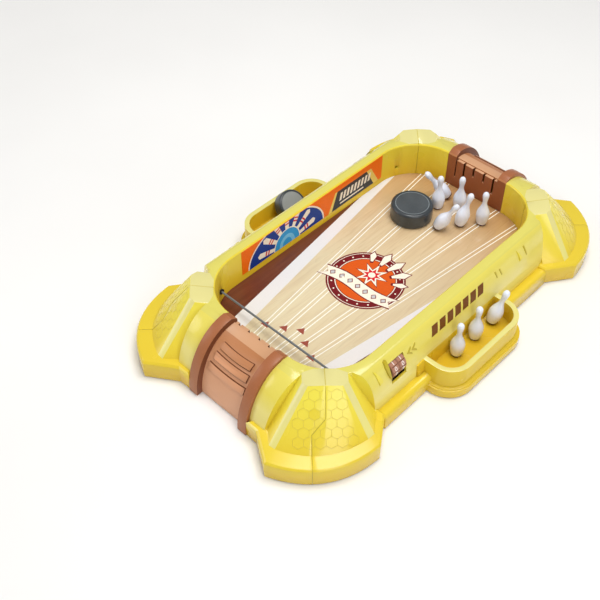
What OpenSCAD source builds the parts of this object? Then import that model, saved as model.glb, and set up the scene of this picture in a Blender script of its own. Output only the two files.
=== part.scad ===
// Table bowling game: a moulded tray with a printed lane, score counters, a launching cord,
// nine pins and two pucks. X runs across the lane, Y along it, and Z = 0 is the table top.

/* [Lane well] */
// Half the width of the lane between the side walls
well_half_w = 79; // [76:0.5:84]
// Half the length of the lane between the end caps
well_half_l = 147; // [140:1:156]
// Radius of the well's rounded corners
well_corner_r = 45; // [43:0.5:47]
// Height of the lane's surface above the table
lane_z = 22; // [21:0.5:25]
// Height of the rim above the lane
rim_h = 36; // [34:0.5:40]
// Width of the ledge that carries the lane board
ledge_w = 6; // [5:0.5:8]
// Thickness of the ledge
ledge_t = 3; // [2:0.5:4]

/* [Mouldings] */
// Wall thickness of the yellow mouldings
wall = 2; // [1.6:0.1:2.4]
// Gap between the frame's lower edge and the table
skirt_gap = 1; // [0.5:0.1:2]
// Gap across each corner seam
seam_gap = 0.3; // [0.1:0.1:0.6]
// Bevel along the rim's inner edge
rim_bevel = 1.2; // [0.5:0.1:1.8]

/* [Side rails] */
// Width of the flat rim on top of a side wall
side_rim_w = 7; // [6:0.5:9]
// Width of the convex slope outside the rim
side_run = 15; // [14.5:0.5:18]
// Height of the crease at the slope's foot
crease_z = 15; // [13:0.5:17]
// Width of the flange outside the crease
flange_w = 9.5; // [8:0.5:12]
// Height of the flange's lip above the crease
lip_h = 1.5; // [1:0.5:2.5]
// Radius of the flange's lip
lip_r = 4.5; // [3.5:0.5:5.5]

/* [Storage pockets] */
// Length of a pocket, outside its rim
pocket_l = 104; // [90:1:116]
// Place of the pocket's middle along the rail
pocket_y = -4; // [-8:1:4]
// Reach of the pocket's rim beyond the crease
pocket_reach = 32; // [30:0.5:36]
// Width of the pocket's flat rim
pocket_rim_w = 4.6; // [4:0.2:6]
// Radius of the pocket's outer corners
pocket_r = 21; // [14:1:24]
// Height of the pocket's rim above the table
pocket_rim_z = 30; // [28:0.5:32]
// Height of the pocket's floor above the table
pocket_floor_z = 12; // [10:0.5:14]
// Width of the base flange round the pocket
pocket_flange_w = 4; // [3:0.5:5]
// Height of that flange
pocket_flange_z = 10; // [8:0.5:12]

/* [Ends] */
// Width of the flat rim on top of an end
end_rim_w = 6; // [5:0.5:8]
// Reach of the quarter-round end face beyond its rim
end_run = 41; // [36:1:46]
// Thickness of an end cap
cap_wall = 2.2; // [1.8:0.1:2.6]
// Width of the raised band at each side of a cap
cap_band_w = 9.5; // [8:0.5:12]
// Height of the raised bands above the ends beside them
cap_band_h = 3; // [2:0.1:3.4]
// Depth of a cap's middle below the ends beside it
cap_sink = 3; // [2:0.5:3.5]
// Width of the lip along a cap's inner top edge
cap_lip_w = 3; // [2.6:0.1:4]
// Depth of that lip below the cap's crest
cap_step = 1.2; // [0.8:0.1:2]
// Clearance at each side of a cap
cap_gap = 0.15; // [0.1:0.05:0.3]
// Length of the raised bars on a cap
cap_bar_l = 41; // [34:1:44]
// Difference in length between one raised bar and the next
cap_bar_step = 3.5; // [2:0.5:4]
// Width of the raised bars
cap_bar_w = 6.4; // [4:0.2:7]
// Bow of the raised bars towards the foot of the cap
cap_bar_sag = 1.2; // [0.5:0.1:2]
// Height of the raised bars
cap_bar_h = 1.1; // [0.5:0.1:1.5]
// Width of the slots in a cap's inner face
cap_slot_w = 2.2; // [1.6:0.1:2.6]

/* [Corner buttresses] */
// Shift of a buttress's middle line towards the end cap
buttress_shift = 4; // [2:0.5:5]
// Half the width of a buttress's top
top_half_w = 18; // [16:0.5:20]
// Reach of the top from the corner's centre
top_reach = 65; // [62:0.5:68]
// Height of the top's ridge above the rim
top_rise = 3.5; // [2.5:0.5:5]
// Height of the base block above the table
base_z = 19; // [17.5:0.5:20]
// Reach of the panel's foot at its middle
foot_reach = 102; // [96:1:104]
// Half the width of the panel's foot
foot_half_w = 43; // [38:1:45]
// Reach of the base block at its middle
base_reach = 113; // [110:1:118]
// Half the width of the base block
base_half_w = 46; // [45:0.5:48]
// Width of the strips along the panel's long edges
strip_w = 4.5; // [3:0.5:6]
// Sideways jog in the lower part of the seam
seam_jog = 11; // [6:1:12]

/* [Lane] */
// Thickness of the printed sheet on the lane board
sheet_t = 0.3; // [0.2:0.1:0.5]
// Clearance round the lane board
board_gap = 0.3; // [0.2:0.1:0.6]
// Thickness of the wall labels
label_t = 0.3; // [0.2:0.1:0.5]
// Height of a wall label
label_h = 27.5; // [22:0.5:29]
// Bare wall between a label and the rim's bevel
label_drop = 0.6; // [0.3:0.1:2]
// Bare straight wall before a left label's near end
label_near = 11.5; // [8:0.5:20]
// Bare straight wall behind a left label's far end
label_far = 1.5; // [1:0.5:8]

/* [Score counters] */
// Radius of a number wheel
wheel_r = 9; // [8:0.1:9.2]
// Width of a number wheel
wheel_w = 8.1; // [7:0.1:8.4]
// Height of the wheels' axle above the table
axle_z = 42; // [40:0.5:43]
// Distance of a counter from the middle of its rail
counter_y = 86.5; // [84:0.5:90]
// Diameter of the axle
axle_d = 2.5; // [2:0.1:3]
// Clearance of the wheels' bores round the axle
run_gap = 0.05; // [0.02:0.01:0.09]
// Clearance beside each wheel
wheel_gap = 0.4; // [0.3:0.05:0.5]
// Thickness of the counter's bracket
bracket_t = 1.8; // [1.4:0.1:2]

/* [Launching cord] */
// Diameter of the elastic cord
cord_d = 2; // [1.5:0.1:2.6]
// Height of the cord above the lane
cord_h = 10.5; // [9:0.5:13]
// Distance of the cord from the middle of the lane
cord_y = 120; // [116:0.5:124]
// Diameter of an eyelet's flange
eyelet_d = 5.4; // [4.6:0.1:7]

/* [Pins] */
// Height of a pin
pin_h = 38; // [36:0.5:40]
// Greatest radius of a pin
belly_r = 6.5; // [6:0.1:6.8]
// Radius of a pin's neck
neck_r = 2.2; // [2:0.1:2.6]
// Radius of a pin's head
head_r = 3.1; // [2.8:0.1:3.3]
// Radius of a pin's foot
pin_foot_r = 4.6; // [4:0.1:5]
// Thickness of the dark base under a pin
pin_base_t = 1.3; // [1:0.1:2]

/* [Pucks] */
// Diameter of a puck
puck_d = 40.5; // [40:0.5:42]
// Thickness of a puck
puck_h = 16.5; // [15:0.5:17]
// Radius of a puck's rounded edges
puck_edge_r = 2.8; // [2:0.2:2.8]
// Diameter of the face discs
disc_d = 34; // [25:0.5:34.5]
// Thickness of the face discs
disc_t = 1.2; // [0.8:0.1:1.6]
// Diameter of the steel weight
weight_d = 22; // [16:0.5:24]
// Thickness of the steel weight
weight_t = 5; // [3:0.5:7]
// Size of the pocket's puck against the lane's puck
small_puck = 0.74; // [0.7:0.01:0.75]
// Tilt of the puck that leans in the pocket
tilt = 43; // [43:0.5:46]

/* [Fixings and feet] */
// Diameter of the screw bosses
boss_d = 6.4; // [5.6:0.2:7]
// Core diameter of the screws
screw_d = 2.3; // [2:0.1:2.6]
// Clearance of a screw in its hole
screw_gap = 0.05; // [0.03:0.01:0.1]
// Diameter of the screw heads
head_d = 5; // [4.4:0.1:5.6]
// Height of the screw heads
screw_head_h = 1.6; // [1.2:0.1:2]
// Thickness of the corner plates
plate_t = 2.4; // [2:0.1:3]
// Diameter of the rubber feet
foot_d = 16; // [12:0.5:18]
// Height of the rubber feet
foot_h = 3.4; // [3.2:0.1:4]

/* [Hidden] */
$fn = 48;
EPS = 0.02;
DIAG = sqrt(0.5);
DEEP = 12;
rim_z = lane_z + rim_h;
corner_x = well_half_w - well_corner_r;
corner_y = well_half_l - well_corner_r;
slope_x = well_half_w + side_rim_w;
crease_x = slope_x + side_run;
skirt_x = crease_x + flange_w;
end_y = well_half_l + end_rim_w;
end_out = end_y + end_run;
cap_half_w = corner_x;
ring_w = side_rim_w + 1;
mid_v = -buttress_shift;
board_top = lane_z - sheet_t;
ledge_z = board_top - 2.7;
shelf_z = ledge_z - ledge_t;
counter_x = well_half_w + wall + 0.6 + wheel_r;
counter_half_w = wheel_w + 1.5 * wheel_gap;
window_half_w = counter_half_w + 0.3;
cheek_y = counter_half_w + bracket_t / 2;
bracket_floor_z = axle_z - wheel_r - 1.7;
counter_boss_y = counter_half_w + bracket_t + 1.2 + boss_d / 2;
counter_boss_x = well_half_w + wall + 1 + boss_d / 2;
puck_r = puck_d / 2;
cord_z = lane_z + cord_h;
cord_wall_x = corner_x + sqrt(pow(well_corner_r, 2) - pow(cord_y - corner_y, 2));
cord_out_x = corner_x + sqrt(pow(well_corner_r + wall, 2) - pow(cord_y - corner_y, 2));
eyelet_sink = 0.5;
stop_x = cord_out_x + 1.1;
stop_grip = 0.9;
plate_z = foot_h;
boss_z = plate_z + plate_t;
pocket_x = crease_x + pocket_reach;
pocket_in_x = pocket_x - pocket_rim_w;
disc_gap = 0.05;

// Pins on the lane: place, measured from the far end, lean, and the direction of the lean
LANE_PINS = [
    [-15, well_half_l - 36.3, 0, 340],
    [-15.4, well_half_l - 17.8, 40, 225],
    [0.7, well_half_l - 22.9, 0, 25],
    [3.1, well_half_l - 61.1, 28, 14],
    [16.2, well_half_l - 42.9, 12, 48],
    [30, well_half_l - 25.8, 0, 330]];
// Pins in the right pocket: place, measured from the crease and the pocket's middle, and lean
POCKET_PINS = [
    [crease_x + 7.3, pocket_y - 15, 0, 0],
    [crease_x + 7.3, pocket_y + 11, 0, 0],
    [crease_x + 7, pocket_y + 35, 15, 52]];
// Lane puck's place, and the tilted puck's place along its pocket
LANE_PUCK = [-25, well_half_l - 64.5];
POCKET_PUCK_Y = 5 - pocket_y;

// Screw places under a buttress, from the corner's centre along and across its middle line
END_BOSSES = [[60, mid_v - 11], [79, mid_v - 14]];
RAIL_BOSSES = [[60, mid_v + 11], [82, mid_v + 12]];
CAP_SCREW_X = 20;
CAP_SCREW_Y = end_y + 11;
// Slots in a cap's inner face: place across it, length below the lip, and share of the width
CAP_SLOTS = [[-23.6, 20.5, 0.6], [-14, 17.5, 1], [-3, 9.5, 1], [9, 9.5, 1], [20, 17.5, 1]];
BOARD_SCREWS = [[well_half_w - ledge_w / 2, 0], [well_half_w - ledge_w / 2, 75],
    [22, well_half_l - ledge_w / 2]];

// Outlines
function unit(a) = a / norm(a);
// A closed outline drawn counter-clockwise, moved inwards by d
function inset(pts, d) = d == 0 ? pts : [for (i = [0 : len(pts) - 1])
    let (a = pts[(i + len(pts) - 1) % len(pts)], b = pts[i], c = pts[(i + 1) % len(pts)],
        u = unit(b - a), w = unit(c - b), n1 = [-u.y, u.x], n2 = [-w.y, w.x])
    b + d * (n1 + n2) / (1 + n1 * n2)];
function reversed(pts) = [for (i = [len(pts) - 1 : -1 : 0]) pts[i]];
// Quarter ellipse from its foot at [cx + ax, cz] to its top at [cx, cz + az]
function quarter(cx, cz, ax, az, n = 16) = [for (i = [0 : n])
    [cx + ax * cos(90 * i / n), cz + az * sin(90 * i / n)]];
// Points of a bulged line from a to b, standing off the chord by h at its middle
function bulged(a, b, h, n = 12) = [for (i = [0 : n])
    let (t = i / n, along = unit(b - a), out = [along.y, -along.x])
    a + (b - a) * t + out * h * (1 - pow(2 * t - 1, 2))];
// Buttress coordinates: u runs out along the diagonal, v across it towards the side rail
function corner(u, v) = [corner_x + (u + v) * DIAG, corner_y + (u - v) * DIAG];
function corner_pts(pts) = reversed([for (p = pts) corner(p.x, p.y)]);

// Cross-section of a side wall, in x and z, with its lower edge at z0
function side_outline(z0) = concat(
    [[well_half_w, z0], [skirt_x, z0]],
    [for (i = [0 : 5]) [skirt_x - lip_r * (1 - cos(18 * i)),
        crease_z + lip_h - lip_r * (1 - sin(18 * i))]],
    quarter(slope_x, crease_z, side_run, rim_z - crease_z),
    [[well_half_w + rim_bevel, rim_z], [well_half_w, rim_z - rim_bevel]]);
// Cross-section of an end, in y and z
function end_outline(z0) = concat(
    [[well_half_l, z0]], z0 < skirt_gap ? [[end_out, z0]] : [],
    quarter(end_y, skirt_gap, end_run, rim_z - skirt_gap),
    [[well_half_l + rim_bevel, rim_z], [well_half_l, rim_z - rim_bevel]]);
// Cross-section of the wall round a corner of the well, as radius and z
function ring_outline(z0) = [
    [well_corner_r, z0], [well_corner_r + ring_w, z0], [well_corner_r + ring_w, rim_z],
    [well_corner_r + rim_bevel, rim_z], [well_corner_r, rim_z - rim_bevel]];

// Plan of the quarter-round beside an end cap
QUARTER_PLAN = [[cap_half_w + cap_gap, corner_y], [corner(48, mid_v - 26).x, corner_y],
    corner(52, mid_v - 19), corner(72, mid_v - 43), corner(82, mid_v - 56),
    [cap_half_w + cap_gap, end_out + 10]];
// Plan of one end of the side wall, from the rail's middle
SIDE_PLAN = [[well_half_w - 1, -1], [skirt_x + 1, -1], [skirt_x + 1, corner_y + 12],
    [crease_x, corner_y + 15], [slope_x, corner_y + 22], [well_half_w - 1, corner_y + 24]];
// Plan of a buttress's base block, in buttress coordinates
BASE_CAP_SIDE = [base_reach - 7, mid_v - base_half_w - 2];
BASE_RAIL_SIDE = [base_reach - 22, mid_v + base_half_w - 3];
BASE_PLAN = concat(
    [[50, mid_v - 20], [50 + 9, mid_v - 36], [66.5, mid_v - 62.5], [75, mid_v - 54.5]],
    bulged(BASE_CAP_SIDE, BASE_RAIL_SIDE, 15, 16),
    [[61, mid_v + 48.5], [54, mid_v + 42], [50, mid_v + 20]]);
// Plans of a buttress's foot and top, with strips cut off their outer corners
function tower_plan(cap_side, rail_side, in_cap, in_rail, bulge) = let (
        a = cap_side + strip_w * unit(in_cap - cap_side),
        b = cap_side + strip_w * unit(rail_side - cap_side),
        c = rail_side + strip_w * unit(cap_side - rail_side),
        d = rail_side + strip_w * unit(in_rail - rail_side))
    concat([[well_corner_r + 1, mid_v], [well_corner_r + 1, mid_v - top_half_w], in_cap, a],
        bulged(b, c, bulge), [d, in_rail, [well_corner_r + 1, mid_v + top_half_w]]);
FOOT_PLAN = tower_plan([foot_reach - 8, mid_v - foot_half_w - 1],
    [foot_reach - 17, mid_v + foot_half_w - 5],
    [64, mid_v - 46], [60, mid_v + 42], 11);
TOP_PLAN = tower_plan([top_reach, mid_v - top_half_w], [top_reach, mid_v + top_half_w],
    [well_corner_r + 5, mid_v - top_half_w], [well_corner_r + 5, mid_v + top_half_w], 0.4);
// Height of a buttress's two top facets, which fall away on both sides of the seam
function top_height(p) = rim_z + 0.4
    + (top_rise - 0.4) * (p.x - well_corner_r) / (top_reach - well_corner_r)
    - 0.06 * abs(p.y - mid_v);

// Solid between a foot plan that runs down to z0 and the roof of a buttress
module tower(d, z0) {
    foot = inset(FOOT_PLAN, d);
    top = inset(TOP_PLAN, d);
    n = len(foot);
    low = [for (p = foot) concat(corner(p.x, p.y), z0)];
    mid = [for (p = foot) concat(corner(p.x, p.y), base_z)];
    high = [for (p = top) concat(corner(p.x, p.y), top_height(p) - d)];
    sides = [for (k = [0, 1], i = [0 : n - 1], side = [0, 1]) let (
            j = (i + 1) % n, b = k * n, t = (k + 1) * n)
        side == 0 ? [b + i, t + j, t + i] : [b + i, b + j, t + j]];
    roof = [for (i = [1 : n - 2]) [2 * n, 2 * n + i, 2 * n + i + 1]];
    ground = [for (i = [1 : n - 2]) [0, i + 1, i]];
    polyhedron(concat(low, mid, high), concat(sides, roof, ground));
}

// Solid of a base block, moved inwards by d, from z0 to its top
module base_block(d, z0) {
    edge = 1.6;
    taper = 0.96;
    plan = corner_pts(inset(BASE_PLAN, d));
    middle = corner(80, mid_v);
    translate([0, 0, z0]) linear_extrude(base_z - edge - d - z0) polygon(plan);
    translate([middle.x, middle.y, base_z - edge - d]) linear_extrude(edge, scale = taper)
        polygon([for (p = plan) p - middle]);
}

// One corner of the frame in the +x +y quadrant; d insets it to make the hollow
module corner_solid(d, z0) {
    tower(d, z0);
    base_block(d, z0);
    translate([corner_x, corner_y, 0]) rotate_extrude(angle = 90, $fn = 96)
        polygon(inset(ring_outline(z0), d));
    intersection() {
        rotate([90, 0, 90]) linear_extrude(corner_x + 60)
            polygon(inset(end_outline(z0), d));
        translate([0, 0, z0 - 1]) linear_extrude(rim_z + 20)
            polygon(inset(QUARTER_PLAN, d));
    }
    side_solid(d, z0);
}

// Half of a side wall in the +x +y quadrant
module side_solid(d, z0) {
    plan = SIDE_PLAN;
    intersection() {
        translate([0, corner_y + 30, 0]) rotate([90, 0, 0]) linear_extrude(corner_y + 40)
            polygon(inset(side_outline(z0), d));
        translate([0, 0, z0 - 1]) linear_extrude(rim_z + 20)
            polygon([for (i = [0 : len(plan) - 1])
                i < 2 ? plan[i] : inset(plan, d)[i]]);
    }
}

// The line of a corner's seam, from inside the well to beyond the frame
function seam_line() = [corner(0, mid_v), corner(82, mid_v),
    corner(90, mid_v - seam_jog), corner(220, mid_v - seam_jog)];
function mirror_y(pts) = [for (p = pts) [p.x, -p.y]];
function mirror_x(pts) = [for (p = pts) [-p.x, p.y]];
// Plan of everything that belongs to the right rail, and to the far end
RAIL_ZONE = inset(concat(mirror_y(seam_line()), reversed(seam_line())), seam_gap / 2);
END_ZONE = inset(concat(seam_line(), reversed(mirror_x(seam_line()))), seam_gap / 2);

module in_zone(zone) {
    intersection() {
        translate([0, 0, -DEEP]) linear_extrude(rim_z + 40) polygon(zone);
        children();
    }
}

module both_y() {
    children();
    mirror([0, 1, 0]) children();
}

module both_x() {
    children();
    mirror([1, 0, 0]) children();
}

// Turns a right or far part into its left or near twin
module twin() {
    rotate([0, 0, 180]) children();
}

// Ledge under the lane board round one corner
module corner_ledge() {
    translate([corner_x, corner_y, shelf_z]) rotate_extrude(angle = 90, $fn = 96)
        translate([well_corner_r - ledge_w, 0]) square([ledge_w + wall / 2, ledge_t]);
}

// Screw bosses inside a buttress, cut to the buttress's outer shape
module corner_bosses(places) {
    intersection() {
        union() {
            for (p = places)
                translate(concat(corner(p.x, p.y), boss_z)) cylinder(d = boss_d, h = rim_z);
        }
        tower(wall / 2, boss_z);
    }
}

module screw_hole(depth) {
    translate([0, 0, -EPS]) cylinder(d = screw_d + 2 * screw_gap, h = depth + EPS);
}

module screw(length) {
    cylinder(d = screw_d, h = length);
    translate([0, 0, -screw_head_h]) cylinder(d = head_d, h = screw_head_h);
}

// Plan of a storage pocket, grown by d
module pocket_plan(d) {
    r = pocket_r + d;
    y0 = pocket_y - pocket_l / 2 - d;
    y1 = pocket_y + pocket_l / 2 + d;
    x0 = well_half_w + wall;
    translate([x0, y0]) square([pocket_x + d - r - x0, y1 - y0]);
    translate([pocket_x + d - r, y0 + r]) circle(r, $fn = 96);
    translate([pocket_x + d - r, y1 - r]) circle(r, $fn = 96);
    translate([pocket_x + d - r, y0 + r]) square([r, y1 - y0 - 2 * r]);
}

module pocket_outer() {
    translate([0, 0, skirt_gap]) linear_extrude(pocket_rim_z - skirt_gap) pocket_plan(0);
    translate([0, 0, skirt_gap]) linear_extrude(pocket_flange_z - 1.2 - skirt_gap)
        pocket_plan(pocket_flange_w);
    translate([0, 0, skirt_gap]) linear_extrude(pocket_flange_z - skirt_gap)
        pocket_plan(pocket_flange_w - 1.2);
}

// The hollow under the pocket's floor and base flange
module pocket_under() {
    translate([0, 0, -DEEP]) linear_extrude(DEEP + pocket_flange_z - wall)
        pocket_plan(pocket_flange_w - wall);
    translate([0, 0, -DEEP]) linear_extrude(DEEP + pocket_floor_z - wall)
        pocket_plan(-wall);
}

// Everything of the pocket that the side wall's own hollow leaves standing
module pocket_block() {
    translate([0, 0, pocket_floor_z - wall]) linear_extrude(rim_z) intersection() {
        pocket_plan(0);
        translate([crease_x - wall, -well_half_l]) square([skirt_x, 2 * well_half_l]);
    }
}

// The room inside the pocket, outside the side wall's slope
module pocket_room() {
    difference() {
        translate([0, 0, pocket_floor_z]) linear_extrude(rim_z) pocket_plan(-pocket_rim_w);
        rotate([90, 0, 0]) translate([0, 0, -well_half_l]) linear_extrude(2 * well_half_l)
            polygon(concat([[0, 0], [crease_x, 0]],
                quarter(slope_x, crease_z, side_run, rim_z - crease_z), [[0, rim_z]]));
    }
}

module side_rail() {
    color("gold") difference() {
        union() {
            in_zone(RAIL_ZONE) difference() {
                union() {
                    pocket_outer();
                    both_y() corner_solid(0, skirt_gap);
                }
                difference() {
                    both_y() corner_solid(wall, -DEEP);
                    pocket_block();
                }
                pocket_under();
                pocket_room();
            }
            in_zone(RAIL_ZONE) both_y() corner_bosses(RAIL_BOSSES);
            in_zone(RAIL_ZONE) both_y() corner_ledge();
            translate([well_half_w - ledge_w, -corner_y, shelf_z])
                cube([ledge_w + wall / 2, 2 * corner_y, ledge_t]);
            counter_bosses();
        }
        translate([counter_x, -counter_y - window_half_w, axle_z - wheel_r - 0.9])
            cube([skirt_x, 2 * window_half_w, 2 * wheel_r + 1.8]);
        both_y() {
            for (p = RAIL_BOSSES)
                translate(concat(corner(p.x, p.y), boss_z)) screw_hole(12);
            translate([corner_x, cord_y, cord_z]) rotate([0, 90, 0]) {
                cylinder(d = cord_d + 1.6, h = stop_x + 1 - corner_x);
                cylinder(d = eyelet_d + 0.4, h = cord_wall_x - eyelet_sink - corner_x);
            }
        }
        for (s = [-1, 1], p = [BOARD_SCREWS[0], BOARD_SCREWS[1]])
            translate([p.x, s * p.y, shelf_z]) screw_hole(ledge_t + 1);
        for (s = [-1, 1])
            translate([counter_boss_x, -counter_y + s * counter_boss_y, bracket_floor_z])
                screw_hole(9);
    }
}

module counter_bosses() {
    intersection() {
        union() {
            for (s = [-1, 1])
                translate([counter_boss_x, -counter_y + s * counter_boss_y, bracket_floor_z])
                    cylinder(d = boss_d, h = rim_z);
        }
        both_y() side_solid(wall / 2, skirt_gap);
    }
}

module end_frame() {
    shelf_out = end_out - cap_sink - 6;
    rib_t = 2;
    color("gold") difference() {
        union() {
            in_zone(END_ZONE) difference() {
                both_x() corner_solid(0, skirt_gap);
                both_x() corner_solid(wall, -DEEP);
            }
            in_zone(END_ZONE) both_x() corner_bosses(END_BOSSES);
            in_zone(END_ZONE) both_x() corner_ledge();
            translate([-cap_half_w - wall, well_half_l - ledge_w, shelf_z])
                cube([2 * (cap_half_w + wall), shelf_out - well_half_l + ledge_w, ledge_t]);
            for (y = [well_half_l + 3, shelf_out - rib_t])
                translate([-cap_half_w - wall, y, skirt_gap + 2])
                    cube([2 * (cap_half_w + wall), rib_t, shelf_z - skirt_gap - 2 + EPS]);
        }
        both_x() {
            for (p = END_BOSSES)
                translate(concat(corner(p.x, p.y), boss_z)) screw_hole(12);
            translate([CAP_SCREW_X, CAP_SCREW_Y, shelf_z]) screw_hole(ledge_t + 1);
            translate([BOARD_SCREWS[2].x, BOARD_SCREWS[2].y, shelf_z]) screw_hole(ledge_t + 1);
        }
    }
}

// Cross-section of a cap, in y and z, grown by d, with a step along its inner top edge
function cap_outline(d, step) = concat(
    [[well_half_l, ledge_z - 30], [end_out + d, ledge_z - 30]],
    quarter(end_y, skirt_gap, end_run + d, rim_z + d - skirt_gap),
    step > 0
        ? [[well_half_l + cap_lip_w, rim_z + d], [well_half_l + cap_lip_w, rim_z + d - step],
            [well_half_l, rim_z + d - step]]
        : [[well_half_l + rim_bevel, rim_z], [well_half_l, rim_z - rim_bevel]]);

module cap_slice(points, x0, x1) {
    translate([x0, 0, 0]) rotate([90, 0, 90]) linear_extrude(x1 - x0) polygon(points);
}

// Cross-section of the hollow behind a face grown by d, with its ceiling at height top
function cap_inside(d, top) = concat(
    [[well_half_l + cap_wall, ledge_z - 30], [end_out + d - cap_wall, ledge_z - 30]],
    quarter(end_y, skirt_gap, end_run + d - cap_wall, top - skirt_gap),
    [[well_half_l + cap_wall, top]]);

// One long edge of a raised bar of length l, at a distance d down the slope from its middle
function bar_edge(l, d) = bulged([l / 2, d - cap_bar_sag / 2], [-l / 2, d - cap_bar_sag / 2],
    cap_bar_sag);

// Raised bars: bowed strips of a thicker quarter-round, the longest one lowest
module cap_bars() {
    rise = rim_z - cap_sink - skirt_gap;
    run = end_run - cap_sink;
    slopes = [35.9, 48.8, 61.7];
    for (i = [0 : 2]) {
        t = slopes[i];
        l = cap_bar_l - i * cap_bar_step;
        intersection() {
            cap_slice(cap_outline(cap_bar_h - cap_sink, 0), -l / 2, l / 2);
            translate([0, end_y + run * cos(t), skirt_gap + rise * sin(t)])
                rotate([-atan2(rise * cos(t), run * sin(t)), 0, 0])
                    linear_extrude(8, center = true)
                        polygon(concat(bar_edge(l, cap_bar_w / 2),
                            reversed(bar_edge(l, -cap_bar_w / 2))));
        }
    }
}

module end_cap() {
    half = cap_half_w - cap_gap;
    band_in = half - cap_band_w;
    lip_z = rim_z - cap_sink - cap_step;
    color("sienna") difference() {
        union() {
            difference() {
                union() {
                    cap_slice(cap_outline(-cap_sink, cap_step), -half, half);
                    cap_slice(cap_outline(cap_band_h, 0), -half, -band_in);
                    cap_slice(cap_outline(cap_band_h, 0), band_in, half);
                    cap_bars();
                }
                cap_slice(cap_inside(-cap_sink, lip_z - cap_wall), -half + cap_wall,
                    half - cap_wall);
                for (s = [-1, 1])
                    cap_slice(cap_inside(cap_band_h, rim_z - cap_wall),
                        s < 0 ? -half + cap_wall : band_in + cap_wall,
                        s < 0 ? -band_in - cap_wall : half - cap_wall);
            }
            intersection() {
                union() {
                    for (s = [-1, 1])
                        translate([s * CAP_SCREW_X, CAP_SCREW_Y, ledge_z])
                            cylinder(d = boss_d, h = rim_z);
                }
                cap_slice(cap_outline(-cap_sink - cap_wall / 2, cap_step), -half, half);
            }
        }
        translate([-half - 1, well_half_l - 1, -DEEP * 2])
            cube([2 * half + 2, end_out - cap_sink - well_half_l - 4, ledge_z + 2 * DEEP]);
        translate([-half - 1, well_half_l - 1, -DEEP * 2])
            cube([2 * half + 2, end_run + 40, skirt_gap + 2 * DEEP]);
        for (slot = CAP_SLOTS)
            translate([slot.x - slot.z * cap_slot_w / 2, well_half_l - 1, lip_z - slot.y])
                cube([slot.z * cap_slot_w, cap_lip_w + 1, slot.y + 10]);
        for (s = [-1, 1])
            translate([s * CAP_SCREW_X, CAP_SCREW_Y, ledge_z]) screw_hole(10);
    }
}

// Plan of the well, made smaller by d
module well_plan(d) {
    r = well_corner_r - d;
    for (sx = [-1, 1], sy = [-1, 1])
        translate([sx * corner_x, sy * corner_y]) circle(r, $fn = 96);
    square([2 * (well_half_w - d), 2 * corner_y], center = true);
    square([2 * corner_x, 2 * (well_half_l - d)], center = true);
}

module lane_board() {
    color("burlywood") difference() {
        translate([0, 0, ledge_z]) linear_extrude(board_top - ledge_z) well_plan(board_gap);
        for (p = BOARD_SCREWS, sx = [-1, 1], sy = [-1, 1])
            translate([sx * p.x, sy * p.y, ledge_z]) screw_hole(1.9);
    }
}

module lane_sheet() {
    color("wheat") translate([0, 0, board_top]) linear_extrude(sheet_t) well_plan(board_gap);
}

module wall_label() {
    y0 = label_far - corner_y;
    color("darkorange")
        translate([well_half_w - label_t, y0, rim_z - rim_bevel - label_drop - label_h])
            cube([label_t, corner_y - label_near - y0, label_h]);
}

// A number wheel on the right rail; place is -1 for tens and 1 for units
module number_wheel(place) {
    y = -counter_y + place * (wheel_w + wheel_gap) / 2;
    rim = 1.6;
    color("rosybrown") translate([counter_x, y, axle_z]) rotate([90, 0, 0]) difference() {
        union() {
            cylinder(r = wheel_r, h = wheel_w - 1, center = true, $fn = 96);
            cylinder(r = wheel_r - 0.4, h = wheel_w, center = true, $fn = 96);
        }
        cylinder(d = axle_d + 2 * run_gap, h = wheel_w + 1, center = true);
        for (s = [-1, 1])
            translate([0, 0, s * wheel_w / 2]) difference() {
                cylinder(r = wheel_r - rim, h = 3, center = true, $fn = 96);
                cylinder(d = axle_d + 3, h = 4, center = true);
            }
    }
}

module counter_axle() {
    reach = counter_half_w + bracket_t + 0.5;
    color("silver") translate([counter_x, -counter_y, axle_z]) rotate([90, 0, 0])
        cylinder(d = axle_d, h = 2 * reach, center = true);
}

module counter_bracket() {
    cheek_w = 8;
    color("dimgray") translate([0, -counter_y, 0]) difference() {
        union() {
            translate([well_half_w + wall + 0.4, -counter_boss_y - boss_d / 2,
                bracket_floor_z - bracket_t])
                cube([2 * (counter_x - well_half_w - wall - 0.4) - 4,
                    2 * counter_boss_y + boss_d, bracket_t]);
            for (s = [-1, 1]) {
                translate([counter_x - cheek_w / 2, s * cheek_y - bracket_t / 2,
                    bracket_floor_z - EPS])
                    cube([cheek_w, bracket_t, axle_z - bracket_floor_z + EPS]);
                translate([counter_x, s * cheek_y, axle_z]) rotate([90, 0, 0])
                    cylinder(d = cheek_w, h = bracket_t, center = true);
            }
        }
        translate([counter_x, 0, axle_z]) rotate([90, 0, 0])
            cylinder(d = axle_d + 0.04, h = 4 * cheek_y, center = true);
        for (s = [-1, 1])
            translate([counter_boss_x, s * counter_boss_y, bracket_floor_z - bracket_t])
                screw_hole(bracket_t + 1);
    }
}

module counter_screws() {
    color("gray") for (turn = [0, 180], s = [-1, 1])
        rotate([0, 0, turn])
            translate([counter_boss_x, -counter_y + s * counter_boss_y,
                bracket_floor_z - bracket_t]) screw(8);
}

module elastic_cord() {
    color("dimgray") translate([0, -cord_y, cord_z]) rotate([0, 90, 0])
        cylinder(d = cord_d, h = 2 * (stop_x + stop_grip), center = true);
}

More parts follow.
